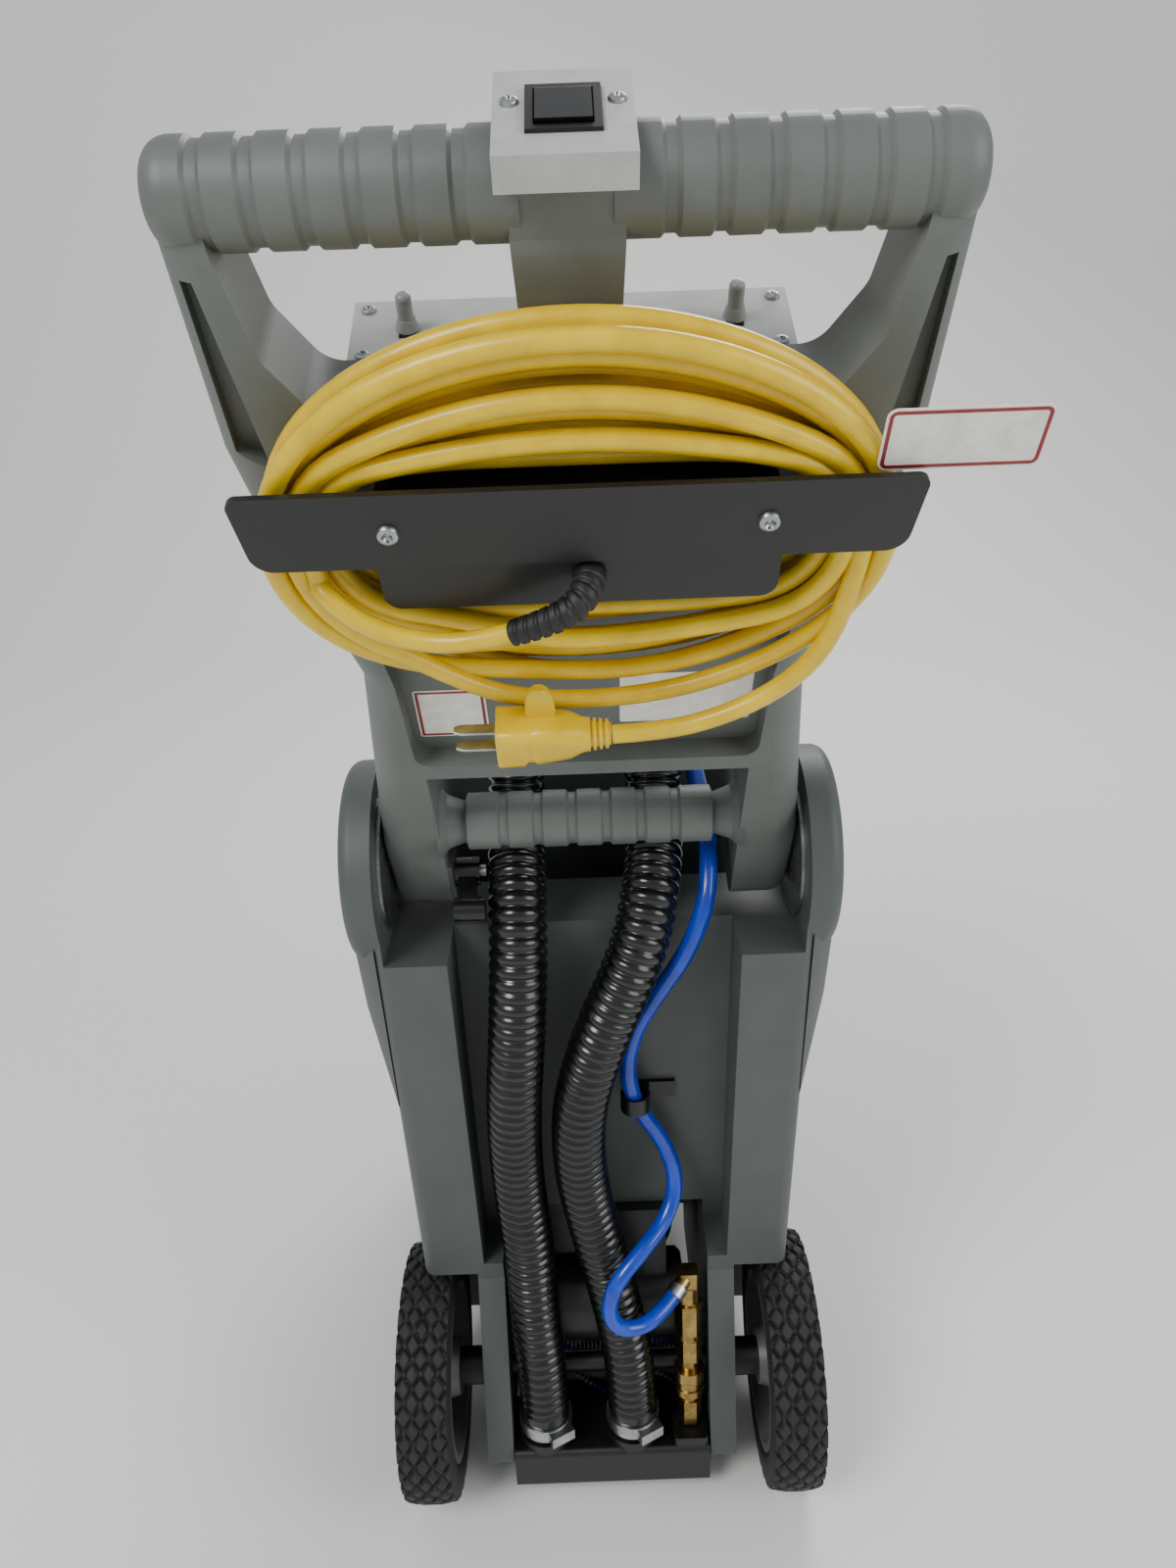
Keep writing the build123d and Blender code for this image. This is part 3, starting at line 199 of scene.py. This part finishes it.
def clear_polycarbonate():
    """Clear polycarbonate: smoky clear sheet with water marks that dull the shine."""
    material, tree, bsdf = shader("clear_polycarbonate", {"IOR": 1.58, "Transmission Weight": 0.92})
    place, marks = mottled(tree, bsdf, "dfe6e6", "f4f8f8", 22)
    varied_roughness(tree, bsdf, marks.outputs["Fac"], 0.02, 0.16)
    return material


def printed_vinyl(name, dark, light):
    """Printed vinyl sticker: satin film, slightly yellowed in patches."""
    material, tree, bsdf = shader(name, {"IOR": 1.5})
    place, patches = mottled(tree, bsdf, dark, light, 9)
    grained(tree, bsdf, place, 1.2, 0.02, 0.4)
    varied_roughness(tree, bsdf, patches.outputs["Fac"], 0.3, 0.45)
    return material


HANDLE_PE = rotomoulded("handle_polyethylene", "5d625e", "656a66", 0.42, 0.56)
BODY_PE = rotomoulded("body_polyethylene", "474d4a", "4d5350", 0.44, 0.6)
TANK_PE = rotomoulded("tank_polyethylene", "25282a", "2f3335", 0.4, 0.55)
CLEAR_PC = clear_polycarbonate()
BLACK_ABS = moulded("black_abs", "060707", "0c0d0d", 0.38)
BLACK_NYLON = moulded("black_glossy_nylon", "08090a", "101112", 0.2)
GREY_NYLON = moulded("grey_nylon", "4c4e50", "585a5c", 0.45)
WHITE_PP = moulded("white_polypropylene", "d9d6cc", "ebe9e0", 0.4)
BRISTLE_NYLON = moulded("bristle_nylon", "16204c", "24306a", 0.4)
HOSE_EVA = soft_pvc("black_eva_hose", "070808", "0f1011", 0.22)
BLUE_PU = soft_pvc("blue_polyurethane_tube", "0630a0", "0a3fc0", 0.2)
YELLOW_PVC = soft_pvc("yellow_cord_pvc", "d6b000", "e8c400", 0.34)
TYRE_RUBBER = moulded("tyre_rubber", "121212", "1e1e1d", 0.68, 0.7, 0.08)
SOFT_RUBBER = moulded("black_soft_rubber", "0e0e0e", "191918", 0.55)
CLEAR_BOOT = moulded("clear_silicone_boot", "8f9290", "a9aba8", 0.3)
GREY_ENAMEL = coated("grey_enamel", "a8aaa6", "b6b8b3", 0.38, 1.4, 0.03)
BLACK_POWDER = coated("black_powder_coat", "060607", "0c0d0d", 0.5, 0.9, 0.07)
STAINLESS = worked_metal("brushed_stainless", "a9abad", "c9cbcc", 0.28, 0.5, (1, 0.1, 1))
ZINC_STEEL = worked_metal("zinc_plated_steel", "96999b", "bcbfc0", 0.34, 1.2, (1, 1, 1))
BRASS = worked_metal("turned_brass", "8f7440", "b79c63", 0.26, 0.4, (0.2, 0.2, 1))
# the motor cans are coloured near-black as painted shade for the dark motor bay, not in their own colour
MOTOR_PAINTED_SHADE = coated("motor_painted_shade_black", "0c0d0e", "17191a", 0.45, 1.1, 0.05)
WHITE_VINYL = printed_vinyl("white_vinyl", "dcd9cf", "eeece4")
RED_INK = printed_vinyl("red_printed_border", "7c1c22", "8f262b")

# every node that stays has its real finish, except the two motors, whose near-black is painted shade for the
# dark motor bay
FINISHES = {
    HANDLE_PE: ["handle_frame"],
    BODY_PE: ["solution_tank"],
    TANK_PE: ["recovery_tank"],
    CLEAR_PC: ["dome", "access_lid"],
    BLACK_ABS: ["vacuum_shoe", "control_box", "inlet_elbows", "outlet_fitting", "standpipe", "lid_hinge",
                "solution_pump", "motor_pulley", "fill_cap", "switch_bezel", "tube_clip"],
    BLACK_NYLON: ["clamp_lever", "rocker_switch"],
    GREY_NYLON: ["left_wheel", "right_wheel", "left_caster_wheel", "right_caster_wheel"],
    WHITE_PP: ["float_ball"],
    SOFT_RUBBER: ["dome_gasket", "drive_belt"],
    CLEAR_BOOT: ["left_toggle", "right_toggle"],
    GREY_ENAMEL: ["switch_cover", "control_panel"],
    BLACK_POWDER: ["cord_hub", "cord_plate", "axle"],
    STAINLESS: ["brush_shaft", "friction_discs", "pivot_bolts", "hose_clamps", "spray_bar"],
    ZINC_STEEL: ["left_caster_fork", "right_caster_fork", "caster_plates", "clamp_bracket"],
    BRASS: ["brass_elbow", "coupler_body", "coupler_sleeve"],
    MOTOR_PAINTED_SHADE: ["vacuum_motor", "brush_motor"],
}


def finish_nodes():
    for material, names in FINISHES.items():
        for name in names:
            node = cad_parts[name]
            if not node.material_slots:
                node.data.materials.append(material)
            for place in node.material_slots:
                place.material = material


finish_nodes()


# ---------------------------------------------------------------- mesh helpers
def piece(name, points, faces, materials, body, indices=None, smooth=True):
    """A mesh piece that rides on a body, with one or more materials."""
    mesh = bpy.data.meshes.new(name)
    mesh.from_pydata([tuple(p) for p in points], [], faces)
    for material in materials:
        mesh.materials.append(material)
    if indices:
        mesh.polygons.foreach_set("material_index", indices)
    mesh.polygons.foreach_set("use_smooth", [smooth] * len(faces))
    mesh.update()
    made = bpy.data.objects.new(name, mesh)
    bpy.context.collection.objects.link(made)
    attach(made, body)
    return made


def ring_faces(rings, around, first=0, closed=False, capped=True):
    """Quads between consecutive rings of the same count, with end caps."""
    faces = []
    for r in range(rings if closed else rings - 1):
        low = first + r * around
        high = first + ((r + 1) % rings) * around
        faces += [(low + k, low + (k + 1) % around, high + (k + 1) % around, high + k) for k in range(around)]
    if capped and not closed:
        faces.append(tuple(first + k for k in reversed(range(around))))
        faces.append(tuple(first + (rings - 1) * around + k for k in range(around)))
    return faces


class Solids:
    """Collects several closed shapes into one piece's points and faces."""

    def __init__(self):
        self.points, self.faces, self.indices = [], [], []

    def add(self, rings, material=0, closed=False, capped=True):
        first, around = len(self.points), len(rings[0])
        for ring in rings:
            self.points += ring
        new = ring_faces(len(rings), around, first, closed, capped)
        self.faces += new
        self.indices += [material] * len(new)

    def make(self, name, materials, body, smooth=True):
        return piece(name, self.points, self.faces, materials, body, self.indices, smooth)


def circle(centre, side, up, radius, around):
    return [centre + radius * (math.cos(TAU * k / around) * side + math.sin(TAU * k / around) * up)
            for k in range(around)]


def rounded_ring(centre, side, up, half_wide, half_high, corner, steps=5):
    """Closed rounded rectangle about a centre, in the plane of side and up."""
    ring = []
    for quarter, (sx, sy) in enumerate(((1, 1), (-1, 1), (-1, -1), (1, -1))):
        for k in range(steps + 1):
            turn = math.pi / 2 * (quarter + k / steps)
            ring.append(centre + side * (sx * (half_wide - corner) + corner * math.cos(turn))
                        + up * (sy * (half_high - corner) + corner * math.sin(turn)))
    return ring


def nurbs(name, points, radius=0.0, resolution=8):
    """Curve object along one smooth route."""
    data = bpy.data.curves.new(name, "CURVE")
    data.dimensions = "3D"
    data.resolution_u = resolution
    data.bevel_depth = radius
    data.bevel_resolution = 6
    data.use_fill_caps = True
    spline = data.splines.new("NURBS")
    spline.points.add(len(points) - 1)
    for place, point in zip(spline.points, points):
        place.co = (*point, 1)
    spline.order_u = 3
    spline.use_endpoint_u = True
    made = bpy.data.objects.new(name, data)
    bpy.context.collection.objects.link(made)
    return made


def route_line(points, step):
    """Even points along a route's smooth curve, a step apart."""
    helper = nurbs("route_helper", points, 0.0, 24)
    mesh = bpy.data.meshes.new_from_object(helper)
    line = [v.co.copy() for v in mesh.vertices]
    data = helper.data
    bpy.data.objects.remove(helper)
    bpy.data.curves.remove(data)
    bpy.data.meshes.remove(mesh)
    even, carried = [line[0]], 0.0
    for a, b in zip(line, line[1:]):
        span = (b - a).length
        while span > 0 and carried + span >= step:
            a = a.lerp(b, (step - carried) / span)
            span = (b - a).length
            carried = 0.0
            even.append(a)
        carried += span
    return even


def line_length(line):
    return sum((b - a).length for a, b in zip(line, line[1:]))


def smooth_by_angle(made, degrees=40):
    """Keeps corners sharper than the given angle crisp."""
    made.data.set_sharp_from_angle(angle=math.radians(degrees))


def swept_rings(line, radius_at, around, step):
    """Rings across a line, with no twist, whose radius depends on the distance along it."""
    rings = []
    ahead = (line[1] - line[0]).normalized()
    side = ahead.orthogonal().normalized()
    for k, point in enumerate(line):
        ahead = (line[min(k + 1, len(line) - 1)] - line[max(k - 1, 0)]).normalized()
        side = (side - side.dot(ahead) * ahead).normalized()
        rings.append(circle(point, side, ahead.cross(side), radius_at(k * step), around))
    return rings


# ---------------------------------------------------------------- power cord
CORD_R = 4.8 * MM
LEAD_ROUTE = [(-30, 299, 78), (-50, 290, 75), (-74, 288, 71), (-96, 295, 67), (-112, 308, 60)]
TAIL_ROUTE = [(114, 266, 62), (94, 241, 66), (66, 225, 69), (38, 218, 71), (13, 217, 71)]
COIL_MIDDLE = (0, 323)
COIL_DEPTHS = (25.9, 34.6, 43.3, 52.0)      # layers, from the hub plate to the operator
POINTS_PER_TURN = 24
COIL_TURNS = 11.55
COIL_START = math.radians(187)
# the order in which the winding fills its layers and columns
WINDING = [(3, 0), (2, 0), (1, 0), (0, 0), (0, 1), (0, 2), (1, 2), (1, 1), (2, 1), (2, 2), (3, 2), (3, 1)]
CROSSING = 0.8                               # part of a turn after which the cord moves to its next place


def hub_reach(angle):
    """Distance from the coil's middle to the innermost cord's middle."""
    wide, high = 110, 43
    return (abs(math.cos(angle) / wide) ** 5 + abs(math.sin(angle) / high) ** 5) ** (-1 / 5)


def rim_reach(angle):
    """Distance from the coil's middle to the outermost cord's middle."""
    wide, high = 135, 101
    return (abs(math.cos(angle) / wide) ** 2 + abs(math.sin(angle) / high) ** 2) ** (-1 / 2)


def winding_place(turns):
    """Layer depth and fraction from hub to rim after so many turns."""
    def place(index):
        layer, column = WINDING[min(index, len(WINDING) - 1)]
        loose = 0.045 * math.sin(2.7 * index + 0.8)
        return COIL_DEPTHS[layer], min(1.0, max(0.0, 0.4 * column + 0.2 * (layer % 2) + loose))
    index = int(turns)
    depth, share = place(index)
    next_depth, next_share = place(index + 1)
    move = max(0.0, (turns - index - CROSSING) / (1 - CROSSING))
    move = move * move * (3 - 2 * move)
    return depth + move * (next_depth - depth), share + move * (next_share - share)


def coil_route():
    """Turns clockwise as the operator sees them, loose below the hub."""
    route = []
    for k in range(int(COIL_TURNS * POINTS_PER_TURN) + 1):
        turns = k / POINTS_PER_TURN
        angle = COIL_START - TAU * turns
        depth, share = winding_place(turns)
        slack = 1 + 0.03 * math.sin(3 * angle + 1.9 * int(turns)) * max(0.0, -math.sin(angle))
        rim = rim_reach(angle)
        hub = hub_reach(angle)
        reach = min(rim, hub + share * (rim - hub) * slack)
        across = COIL_MIDDLE[0] + reach * math.cos(angle)
        up = COIL_MIDDLE[1] + reach * math.sin(angle)
        route.append((across, up, depth))
    return route


def make_power_cord():
    route = [handle_point(*p) for p in LEAD_ROUTE + coil_route() + TAIL_ROUTE]
    cord = nurbs("power_cord", route, CORD_R, 4)
    cord.data.materials.append(YELLOW_PVC)
    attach(cord, "handle")
    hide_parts("power_coil", "lead_cord", "tail_cord")
    length = line_length(route_line(route, 2 * MM))
    return cord, length


# ---------------------------------------------------------------- strain relief
RELIEF_ROUTE = [(4, 317, 62), (3, 316, 74), (-10, 309, 81), (-30, 299, 78)]
RELIEF_R = 7.4 * MM
RELIEF_TIP_R = 5.9 * MM
RELIEF_PITCH = 5.2 * MM
RELIEF_COLLAR = 4 * MM                       # plain length where it leaves the housing
RELIEF_GROOVE = 0.16                         # groove depth as a share of the radius
RELIEF_STEP = 0.35 * MM
RELIEF_AROUND = 28


def make_strain_relief():
    """Tapered rubber sleeve with spiral flexing grooves."""
    line = route_line([handle_point(*p) for p in RELIEF_ROUTE], RELIEF_STEP)
    whole = line_length(line)

    def taper(along):
        return RELIEF_R + (RELIEF_TIP_R - RELIEF_R) * along / whole
    rings = swept_rings(line, taper, RELIEF_AROUND, RELIEF_STEP)
    for k, (middle, ring) in enumerate(zip(line, rings)):
        along = k * RELIEF_STEP
        for j in range(RELIEF_AROUND):
            wave = math.sin(TAU * (along / RELIEF_PITCH + j / RELIEF_AROUND))
            if along < RELIEF_COLLAR or wave < 0.1:
                continue
            ring[j] = middle + (ring[j] - middle) * (1 - RELIEF_GROOVE * min(1.0, 1.6 * (wave - 0.1)))
    shape = Solids()
    shape.add(rings)
    made = shape.make("spiral_strain_relief", [SOFT_RUBBER], "handle")
    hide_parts("strain_relief")
    return made


# ---------------------------------------------------------------- mains plug
PLUG_W, PLUG_N = 217, 70.3
TAIL_RIBS = 4
TAIL_RIB_PITCH = 3
BLADE_SPACING = 12.8
BLADE_HALF_THICK = 0.75 * MM
BLADE_CORNER = 0.5 * MM
# along the plug from its face: place, half height, half depth and corner radius
PLUG_BODY = [(-44, 12.2, 10.6, 3), (-43, 13, 11.4, 4), (-31, 13, 11.4, 5), (-29, 11.6, 10.2, 5),
             (-26, 11.6, 10.2, 5), (-24, 12.6, 11.2, 6), (-8, 11, 10.2, 7), (-2, 8.4, 8.6, 7)]


def make_plug():
    """Moulded plug with a waisted body, ribbed tail and two flat blades."""
    shape = Solids()
    stations = list(PLUG_BODY)
    for rib in range(TAIL_RIBS):
        u = 0.5 + TAIL_RIB_PITCH * rib
        crest = 7.6 - 0.3 * rib
        root = 6.2 - 0.2 * rib
        stations += [(u, crest, crest, 5), (u + 1.5, crest, crest, 5)]
        stations += [(u + 1.7, root, root, 5), (u + 2.8, root, root, 5)]
    rings = [rounded_ring(handle_point(u, PLUG_W, PLUG_N), UP_HANDLE, TO_OPERATOR, half_w * MM, half_n * MM,
                          min(corner, half_w - 0.3, half_n - 0.3) * MM)
             for u, half_w, half_n, corner in stations]
    shape.add(rings)
    # finger clip tab above the body
    tab = [rounded_ring(handle_point(-22, w, PLUG_N - 4), ACROSS, TO_OPERATOR, half * MM, 2.2 * MM, 1.2 * MM)
           for w, half in ((227, 7.5), (236, 7.2), (243, 6.2), (247, 4.4), (248.6, 2.4))]
    shape.add(tab)
    # blades
    for w in (PLUG_W - BLADE_SPACING / 2, PLUG_W + BLADE_SPACING / 2):
        blade = [rounded_ring(handle_point(u, w, PLUG_N), TO_OPERATOR, UP_HANDLE, wide * MM,
                              BLADE_HALF_THICK, BLADE_CORNER)
                 for u, wide in ((-43.5, 3.2), (-61, 3.2), (-64.3, 2.2), (-64.8, 1.9))]
        shape.add(blade, 1)
    made = shape.make("mains_plug", [YELLOW_PVC, ZINC_STEEL], "handle")
    smooth_by_angle(made)
    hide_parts("power_plug")
    return made


# ---------------------------------------------------------------- tag and labels
INK_HEIGHT = 0.08 * MM


def flat_card(name, middle, half_u, half_w, thick, corner, border):
    """Blank card with rounded corners and an optional printed border; sizes in millimetres."""
    centre = handle_point(*middle)
    shape = Solids()

    def ring(inset, lift):
        return rounded_ring(centre + TO_OPERATOR * lift, ACROSS, UP_HANDLE, (half_u - inset) * MM,
                            (half_w - inset) * MM, max(0.4, corner - inset) * MM)

    shape.add([ring(0, 0), ring(0, thick * 0.8 * MM), ring(0.15, thick * MM)])
    if border:
        top = thick * MM
        shape.add([ring(1.0, top * 0.5), ring(1.0, top + INK_HEIGHT), ring(1.0 + border, top + INK_HEIGHT),
                   ring(1.0 + border, top * 0.5)], 1, capped=False)
    return shape.make(name, [WHITE_VINYL, RED_INK], "handle", smooth=False)


def make_cards():
    """The tag on the cord and the two labels on the web; returns the tag."""
    tag = flat_card("blank_cord_tag", (152, 378, 57.4), 32.5, 14.5, 0.6, 4, 1.6)
    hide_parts("cord_tag")
    left = flat_card("left_blank_label", (-75.5, 159.5, 6.0), 20, 20, 0.35, 1.5, 1.7)
    right = flat_card("right_blank_label", (56.5, 167, 6.0), 37, 20.5, 0.35, 1.5, 0)
    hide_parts("rating_labels")
    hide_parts("rating_labels")
    return tag


def make_cord_set():
    cord, length = make_power_cord()
    relief = make_strain_relief()
    plug = make_plug()
    tag = make_cards()


make_cord_set()


# ---------------------------------------------------------------- suction hoses
LEFT_HOSE_ROUTE = [(-54, -130, 66), (-54, -130, 120), (-57, -122, 180), (-59, -111, 248), (-64, -114, 320),
                   (-62, -128, 394), (-55, -136, 462), (-51, -131, 516), (-50, -116, 553), (-50, -88, 576),
                   (-50, -58, 594), (-50, -38, 624), (-50, -38, 664)]
RIGHT_HOSE_ROUTE = [(18, -130, 66), (18, -130, 120), (10, -121, 180), (-5, -110, 248), (-17, -114, 320),
                    (-16, -127, 394), (2, -135, 462), (26, -131, 516), (38, -116, 553), (43, -88, 576),
                    (45, -58, 594), (46, -38, 624), (46, -38, 664)]
HOSE_R = 19.9 * MM
HOSE_GROOVE = 3.0 * MM
HOSE_PITCH = 8.5 * MM
CUFF_LENGTH = 26 * MM
HOSE_STEP = 0.85 * MM
HOSE_AROUND = 40


def make_hose(name, points, node):
    """Corrugated hose: rounded crests with narrow grooves, and a plain cuff at each end."""
    line = route_line([machine_point(*p) for p in points], HOSE_STEP)
    whole = line_length(line)

    def radius(s):
        if s < CUFF_LENGTH or s > whole - CUFF_LENGTH:
            return HOSE_R
        phase = (s - CUFF_LENGTH) / HOSE_PITCH % 1
        return HOSE_R - HOSE_GROOVE * (1 - math.sin(math.pi * phase) ** 0.6)
    shape = Solids()
    shape.add(swept_rings(line, radius, HOSE_AROUND, HOSE_STEP))
    made = shape.make(name, [HOSE_EVA], "chassis")
    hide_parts(node)


make_hose("left_corrugated_hose", LEFT_HOSE_ROUTE, "left_hose")
make_hose("right_corrugated_hose", RIGHT_HOSE_ROUTE, "right_hose")

# ---------------------------------------------------------------- solution tube
TUBE_ROUTE = [
    (52, -127, 202), (40, -140, 197), (24, -148, 193), (7, -153, 200), (0, -154, 222), (8, -150, 246),
    (28, -136, 261), (48, -116, 272), (58, -100, 296), (48, -96, 332), (28, -98, 366), (20, -104, 404),
    (25, -111, 444), (42, -118, 482), (62, -122, 516), (76, -118, 552), (80, -96, 580), (78, -62, 602),
    (73, -30, 626), (58, -8, 646), (37, 0, 652), (16, 0, 652),
]


def make_solution_tube():
    tube = nurbs("blue_solution_tube", [machine_point(*p) for p in TUBE_ROUTE], 6.3 * MM, 10)
    tube.data.materials.append(BLUE_PU)
    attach(tube, "chassis")
    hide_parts("solution_tube")


make_solution_tube()

# ---------------------------------------------------------------- tyres
TYRE_R = 99.8 * MM
TYRE_HALF = 20.8 * MM
AXLE_Y, AXLE_Z, WHEEL_X = -100, 100, 145
RIM_R = 72.2 * MM
LUG_HEIGHT = 3.2 * MM
TREAD_ROWS = 30
TREAD_LEAN = 1.5                             # lugs that each groove crosses from the middle to the edge
CROWN_DROP = 2.4 * MM
AROUND_TYRE = 352
ACROSS_TREAD = 32


def tread_radius(turn, across):
    """Outer radius on the tread: diamonds between crossing grooves."""
    lean = across * TREAD_LEAN
    a = (turn * TREAD_ROWS / TAU + lean) % 1
    b = (turn * TREAD_ROWS / TAU - lean) % 1
    edge = max(abs(a - 0.5), abs(b - 0.5)) * 2
    lug = min(1.0, max(0.0, (0.84 - edge) / 0.14))
    crown = TYRE_R - CROWN_DROP * abs(across) ** 2.5
    return crown - LUG_HEIGHT * (1 - lug)


def make_tyre(side, name, node, body):
    """Moulded rubber tyre with raised diamond tread and plain sidewalls."""
    profile = [(-0.86 * TYRE_HALF, RIM_R), (-TYRE_HALF, RIM_R + 4 * MM), (-TYRE_HALF, 82 * MM),
               (-0.985 * TYRE_HALF, 90 * MM)]
    rings = []
    for k in range(AROUND_TYRE):
        turn = TAU * k / AROUND_TYRE
        section = list(profile)
        for j in range(ACROSS_TREAD + 1):
            across = -1 + 2 * j / ACROSS_TREAD
            section.append((0.95 * TYRE_HALF * across, tread_radius(turn, across)))
        section += [(-x, r) for x, r in reversed(profile)]
        rings.append([machine_point(side * WHEEL_X, AXLE_Y, AXLE_Z)
                      + Vector((x, r * math.cos(turn), r * math.sin(turn))) for x, r in section])
    shape = Solids()
    shape.add(rings, closed=True)
    made = shape.make(name, [TYRE_RUBBER], body)
    smooth_by_angle(made, 50)
    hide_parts(node)


make_tyre(-1, "left_treaded_tyre", "left_tyre", "left_road_wheel")
make_tyre(1, "right_treaded_tyre", "right_tyre", "right_road_wheel")

# ---------------------------------------------------------------- screws
SCREW_SIDES = 36


def pan_head(shape, foot, side, up, out, radius, height):
    """Domed head with a cross recess, standing on a surface; out points away from it."""
    rings = [circle(foot, side, up, radius, SCREW_SIDES),
             circle(foot + out * height * 0.35, side, up, radius, SCREW_SIDES),
             circle(foot + out * height * 0.75, side, up, radius * 0.88, SCREW_SIDES),
             circle(foot + out * height * 0.95, side, up, radius * 0.64, SCREW_SIDES)]
    # the recess: ring points near the two slots sink
    for share, sink in ((0.52, 0.95), (0.5, 0.45), (0.16, 0.2)):
        ring = []
        for k in range(SCREW_SIDES):
            angle = TAU * k / SCREW_SIDES
            in_slot = min(abs(math.sin(angle)), abs(math.cos(angle))) * share < 0.11
            level = sink if in_slot else 0.98
            ring.append(foot + out * height * level
                        + radius * share * (math.cos(angle) * side + math.sin(angle) * up))
        rings.append(ring)
    shape.add(rings)


PLATE_TOP_W = 480
PANEL_TOP_W = 364
CORD_PLATE_N = 65
PLATE_SCREW_W = 346
SCREW_R = 3.4 * MM
PLATE_SCREW_R = 4.8 * MM


def make_screws():
    shape = Solids()
    for u in (-19, 19):
        pan_head(shape, handle_point(u, PLATE_TOP_W, -4), ACROSS, -TO_OPERATOR, UP_HANDLE, SCREW_R, 2 * MM)
    for u in (-93, 93):
        for n in (-31, -66):
            pan_head(shape, handle_point(u, PANEL_TOP_W, n), ACROSS, -TO_OPERATOR, UP_HANDLE, SCREW_R, 2 * MM)
    for u in (-78, 78):
        foot = handle_point(u, PLATE_SCREW_W, CORD_PLATE_N)
        pan_head(shape, foot, ACROSS, UP_HANDLE, TO_OPERATOR, PLATE_SCREW_R, 2.6 * MM)
    made = shape.make("cross_recess_screws", [ZINC_STEEL], "handle")
    smooth_by_angle(made, 35)
    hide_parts("handle_screws")


make_screws()

# ---------------------------------------------------------------- brush roller
BRUSH_Y, BRUSH_Z = -60, 37
TUFT_ROWS = 10
TUFTS_PER_ROW = 34
TUFT_TIP_R = 33.6 * MM
CORE_R = 19 * MM
FIRST_TUFT_X = -53
TUFTED_LENGTH = 120
ROW_TWIST = 0.35                             # part of a turn that a row winds round the core


def make_brush():
    """Roller with bristle tufts set in helical rows, and its belt pulley."""
    shape = Solids()
    centre = machine_point(0, BRUSH_Y, BRUSH_Z)
    y_axis, z_axis = Vector((0, 1, 0)), Vector((0, 0, 1))
    profile = [(-72, 15), (-70, 15), (-70, 12), (-62, 12), (-62, 15), (-56, 15), (-56, 19),
               (70, 19), (70, 16), (72, 16), (72, 5.2), (-72, 5.2)]
    shape.add([circle(centre + ACROSS * x * MM, y_axis, z_axis, r * MM, 48) for x, r in profile], closed=True)
    for row in range(TUFT_ROWS):
        for k in range(TUFTS_PER_ROW):
            x = FIRST_TUFT_X + TUFTED_LENGTH * k / (TUFTS_PER_ROW - 1)
            turn = TAU * (row / TUFT_ROWS + ROW_TWIST * k / TUFTS_PER_ROW)
            out = math.cos(turn) * y_axis + math.sin(turn) * z_axis
            side = ACROSS.cross(out)
            root = centre + ACROSS * x * MM
            shape.add([circle(root + out * r, ACROSS, side, wide * MM, 7)
                       for r, wide in ((CORE_R - 1 * MM, 1.1), (26 * MM, 1.3), (TUFT_TIP_R - 0.6 * MM, 1.75),
                                       (TUFT_TIP_R, 1.5))], 1)
    made = shape.make("bristle_roller", [BLACK_ABS, BRISTLE_NYLON], "brush")
    smooth_by_angle(made, 40)
    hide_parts("roller_brush")


make_brush()


# ---------------------------------------------------------------- floor and light
FLOOR_FRONT, FLOOR_BACK, FLOOR_HALF_WIDTH = -6, 2.0, 7
SWEEP_R, SWEEP_STEPS = 1.2, 10
WALL_HEIGHT = 5


def make_floor():
    """Plain pale floor that sweeps up behind the object."""
    profile = [(FLOOR_FRONT, 0), (FLOOR_BACK, 0)]
    for step in range(1, SWEEP_STEPS + 1):
        turn = step * math.pi / 2 / SWEEP_STEPS
        profile.append((FLOOR_BACK + SWEEP_R * math.sin(turn), SWEEP_R - SWEEP_R * math.cos(turn)))
    profile.append((FLOOR_BACK + SWEEP_R, WALL_HEIGHT))
    points = [(x, y, z) for y, z in profile for x in (-FLOOR_HALF_WIDTH, FLOOR_HALF_WIDTH)]
    faces = [(2 * k, 2 * k + 1, 2 * k + 3, 2 * k + 2) for k in range(len(profile) - 1)]
    mesh = bpy.data.meshes.new("floor")
    mesh.from_pydata(points, [], faces)
    mesh.polygons.foreach_set("use_smooth", [True] * len(faces))
    paint = shader("pale_floor_paint", {"Base Color": linear("e6e6e2"), "Roughness": 0.7})[0]
    mesh.materials.append(paint)
    floor = bpy.data.objects.new("floor", mesh)
    bpy.context.collection.objects.link(floor)


def soft_light(name, place, target, size, power):
    data = bpy.data.lights.new(name, "AREA")
    data.shape = "DISK"
    data.size = size
    data.energy = power
    lamp = bpy.data.objects.new(name, data)
    bpy.context.collection.objects.link(lamp)
    lamp.location = place
    lamp.rotation_euler = (Vector(target) - Vector(place)).to_track_quat("-Z", "Y").to_euler()


def light_scene():
    world = bpy.data.worlds.new("studio")
    world.use_nodes = True
    background = world.node_tree.nodes["Background"]
    background.inputs["Color"].default_value = linear("eef1f5")
    background.inputs["Strength"].default_value = 0.62
    bpy.context.scene.world = world
    soft_light("key", (-1.6, -2.0, 2.8), (0, 0, 0.5), 1.4, 68)
    soft_light("fill", (2.2, -1.4, 1.7), (0, 0, 0.5), 1.8, 32)
    soft_light("rim", (0.8, 2.2, 2.4), (0, 0, 0.6), 1.4, 45)


make_floor()
light_scene()
